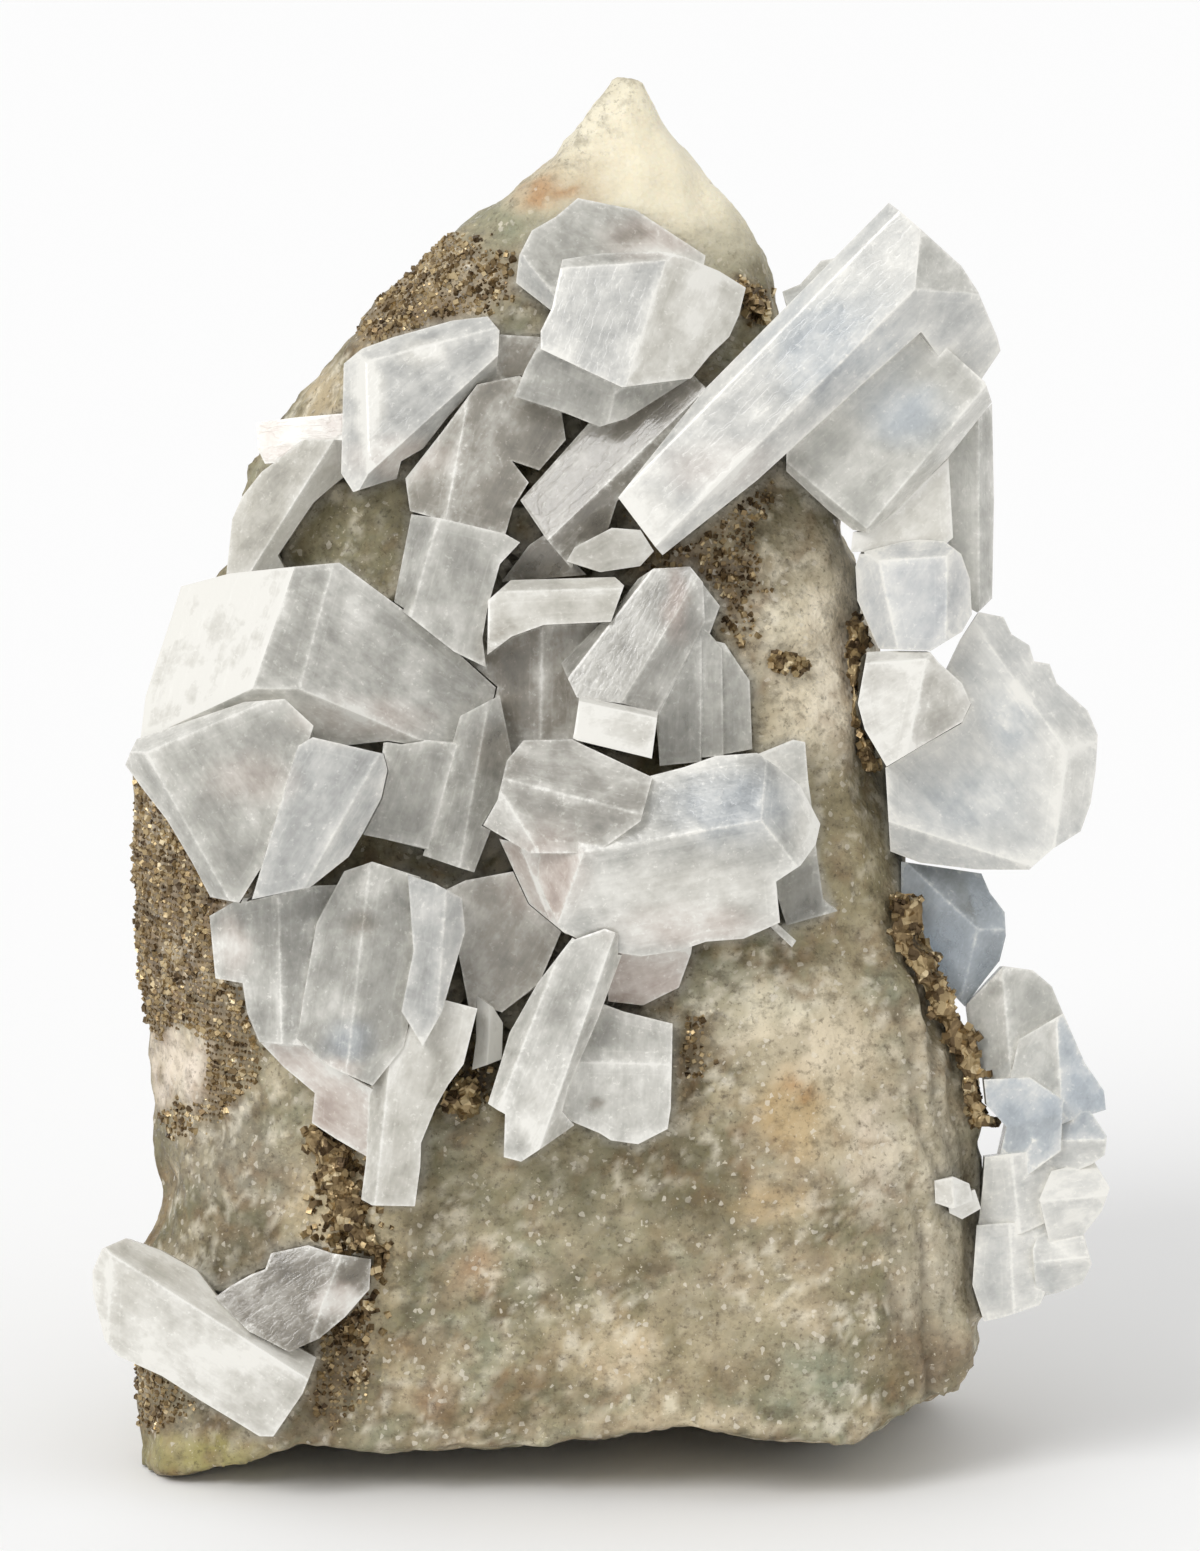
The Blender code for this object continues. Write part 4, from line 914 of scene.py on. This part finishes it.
def facet_borders(corners, facet):
    """The edges round each facet, as pairs of vertices."""
    sides = np.sort(np.concatenate([corners[:, (0, 1)], corners[:, (1, 2)], corners[:, (2, 0)]]), axis=1)
    owner = np.tile(facet, 3)
    order = np.lexsort((sides[:, 1], sides[:, 0]))
    sides, owner = sides[order], owner[order]
    shared = (sides[:-1] == sides[1:]).all(axis=1) & (owner[:-1] != owner[1:])
    borders = {}
    for k in np.flatnonzero(shared):
        for number in (owner[k], owner[k + 1]):
            borders.setdefault(number, []).append(sides[k])
    return borders


def border_distance(co, corners, facet):
    """For each corner, how far it lies from the border of its own facet, in metres."""
    away = np.full(corners.shape, FAR)
    for number, segments in facet_borders(corners, facet).items():
        mine = np.flatnonzero(facet == number)
        used, back = np.unique(corners[mine], return_inverse=True)
        segments = np.array(segments)
        start = co[segments[:, 0]][None]
        along = co[segments[:, 1]][None] - start
        length = np.maximum((along ** 2).sum(axis=2), 1e-14)
        best = np.empty(len(used))
        for low in range(0, len(used), AT_ONCE):
            part = co[used[low:low + AT_ONCE]][:, None] - start
            share = np.clip((part * along).sum(axis=2) / length, 0, 1)[..., None]
            best[low:low + AT_ONCE] = np.sqrt(((part - along * share) ** 2).sum(axis=2)).min(axis=1)
        away[mine] = best[back].reshape(-1, 3)
    return away


def turned(x, y, mid_x, mid_y, turn):
    """How far points lie along and across one crystal from its middle, in steps."""
    c, s = math.cos(math.radians(turn)), math.sin(math.radians(turn))
    return (x - mid_x) * c - (y - mid_y) * s, (x - mid_x) * s + (y - mid_y) * c


def chosen_crystals(choices, middles, area, facet, facets):
    """The crystal that each face belongs to, the same one all over a facet."""
    x, y, _ = face_steps(middles)
    away = np.empty((len(choices), facets))
    total = np.bincount(facet, area, minlength=facets) + 1e-12
    for i, (_, mid_x, mid_y, half_long, half_wide, turn, _, _) in enumerate(choices):
        along, across = turned(x, y, mid_x, mid_y, turn)
        far = np.hypot(along / half_long, across / half_wide)
        away[i] = np.bincount(facet, area * far, minlength=facets) / total
    return away.argmin(axis=0)[facet]


def crystal_looks(choices, chosen, co, corners):
    """Growth coordinates, tint and milk of every corner, before each facet's own share."""
    x, y, depth = face_steps(co)
    grow = np.empty((len(corners), 3, 3))
    tint = np.empty((len(corners), 3, 4))
    milk = np.empty((len(corners), 3))
    for i, (_, mid_x, mid_y, _, _, turn, colour, cloud) in enumerate(choices):
        along, across = turned(x, y, mid_x, mid_y, turn)
        spots = np.stack([across * STEP / MM + GROW_APART * i, along * STEP / MM, depth], axis=1)
        mine = chosen == i
        grow[mine] = spots[corners[mine]]
        tint[mine] = (*colour, 1)
        milk[mine] = cloud + MILK_MORE
    wander = 7 * noise_at(co, 1.6, 31)
    for _, mid_x, mid_y, half_x, half_y, colour, share, more in CRYSTAL_PATCHES:
        away = np.sqrt(((x + wander - mid_x) / half_x) ** 2 + ((y - wander - mid_y) / half_y) ** 2)
        amount = fall(away, 1.4, 0.9)[corners]
        tint[..., :3] += (colour - tint[..., :3]) * (share * amount)[..., None]
        milk += more * amount
    return grow, tint, milk


def crystal_group(node, density):
    """The crystals of one group, a little swelled, each facet with a look of its own."""
    crystal = copy_of(node, node + "_faces")
    mesh = crystal.data
    mesh.materials.clear()
    mesh.materials.append(barite_material(node + "_surface", density))
    facets = mark_facets(mesh)
    swell = crystal.modifiers.new("swell", "DISPLACE")
    swell.mid_level = 0.0
    swell.strength = CRYSTAL_SWELL
    apply_modifiers(crystal)
    mesh = crystal.data
    cut_fine(mesh)
    co = rows(mesh.vertices, "co")
    corners = rows(mesh.loops, "vertex_index", 1, int).reshape(-1, 3)
    area = rows(mesh.polygons, "area", 1).ravel()
    facet = rows(mesh.attributes["facet"].data, "value", 1, int).ravel()
    choices = [c for c in CRYSTALS if c[0] == node]
    chosen = chosen_crystals(choices, co[corners].mean(axis=1), area, facet, facets)
    grow, tint, milk = crystal_looks(choices, chosen, co, corners)
    tint[..., :3] *= rng.normal(1.0, FACET_LIGHT_SPREAD, size=facets)[facet][:, None, None]
    milk += rng.normal(0.0, FACET_MILK_SPREAD, size=facets)[facet][:, None]
    for name, kind, values, key in (
        ("grow", "FLOAT_VECTOR", grow, "vector"),
        ("tint", "FLOAT_COLOR", tint, "color"),
        ("milk", "FLOAT", milk, "value"),
        ("border", "FLOAT", border_distance(co, corners, facet) / MM, "value"),
    ):
        mesh.attributes.new(name, kind, "CORNER").data.foreach_set(key, values.ravel())
    mesh.update()
    mesh.shade_flat()
    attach(crystal, "root")
    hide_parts(node)


# How strongly the body of each group absorbs light, where it isn't the usual
USUAL_DENSITY = 70
DENSITY = {
    "barite_long_prism_group": 120,
    "barite_right_upper_crystal": 110,
    "barite_right_middle_crystal": 90,
    "barite_right_block": 80,
    "barite_right_dark_crystal": 150,
    "barite_knobby_group": 130,
}
for group in sorted({c[0] for c in CRYSTALS}):
    crystal_group(group, DENSITY.get(group, USUAL_DENSITY))

# Studio: pale floor, soft light and the photograph's view
FLOOR_HALF = 3
FLOOR_DOWN = 0.0002
FLOOR_PAPER = (0.95, 0.95, 0.95, 1)
FLOOR_ROUGHNESS = 0.9
SKY_LIGHT = 0.80
LAMP_POWER = 1.2
LAMP_FROM = (-0.42, -0.66, 0.62)
LAMP_ANGLE = math.radians(28)
DISTANCE = 1.2
SENSOR = 24
PHOTO_HEIGHT = 1551
PHOTO_MIDDLE = (600, 775.5)
LOOK_DEPTH = 8
NEAREST = 0.01


def make_floor():
    """Pale paper under the specimen."""
    low, high = -FLOOR_HALF, FLOOR_HALF
    mesh = bpy.data.meshes.new("floor")
    mesh.from_pydata([(low, low, 0), (high, low, 0), (high, high, 0), (low, high, 0)], [], [(0, 1, 2, 3)])
    floor = bpy.data.objects.new("floor", mesh)
    floor.location.z = -FLOOR_DOWN
    bpy.context.scene.collection.objects.link(floor)
    look, _, shader = material("floor_paper")
    shader.inputs["Base Color"].default_value = FLOOR_PAPER
    shader.inputs["Roughness"].default_value = FLOOR_ROUGHNESS
    mesh.materials.append(look)


def make_sky():
    """Even white all round, a little weaker as light than as seen by the camera."""
    world = bpy.data.worlds.new("studio")
    bpy.context.scene.world = world
    world.use_nodes = True
    tree = world.node_tree
    background = tree.nodes["Background"]
    background.inputs[0].default_value = (1, 1, 1, 1)
    seen = tree.nodes.new("ShaderNodeLightPath").outputs["Is Camera Ray"]
    tree.links.new(maths(tree, "MULTIPLY_ADD", seen, 1 - SKY_LIGHT, SKY_LIGHT), background.inputs[1])


def make_lamp():
    """Wide soft light from the upper left."""
    lamp = bpy.data.lights.new("soft light", "SUN")
    lamp.energy = LAMP_POWER
    lamp.angle = LAMP_ANGLE
    lamp_object = bpy.data.objects.new("soft light", lamp)
    lamp_object.rotation_euler = Vector(LAMP_FROM).to_track_quat("Z", "Y").to_euler()
    bpy.context.scene.collection.objects.link(lamp_object)


def make_camera():
    """Camera square to the face, whose frame is the photograph's."""
    camera = bpy.data.cameras.new("camera")
    camera.sensor_fit = "VERTICAL"
    camera.sensor_height = SENSOR
    camera.lens = SENSOR * DISTANCE / (PHOTO_HEIGHT * STEP)
    camera.clip_start = NEAREST
    camera_object = bpy.data.objects.new("camera", camera)
    bpy.context.scene.collection.objects.link(camera_object)
    seen_from = place(*PHOTO_MIDDLE, LOOK_DEPTH) + OUT * DISTANCE
    facing = Matrix((SIDE, UP, OUT)).transposed().to_4x4()
    camera_object.matrix_world = Matrix.Translation(seen_from) @ facing
    bpy.context.scene.camera = camera_object


make_floor()
make_sky()
make_lamp()
make_camera()
bpy.context.scene.view_settings.view_transform = "Standard"
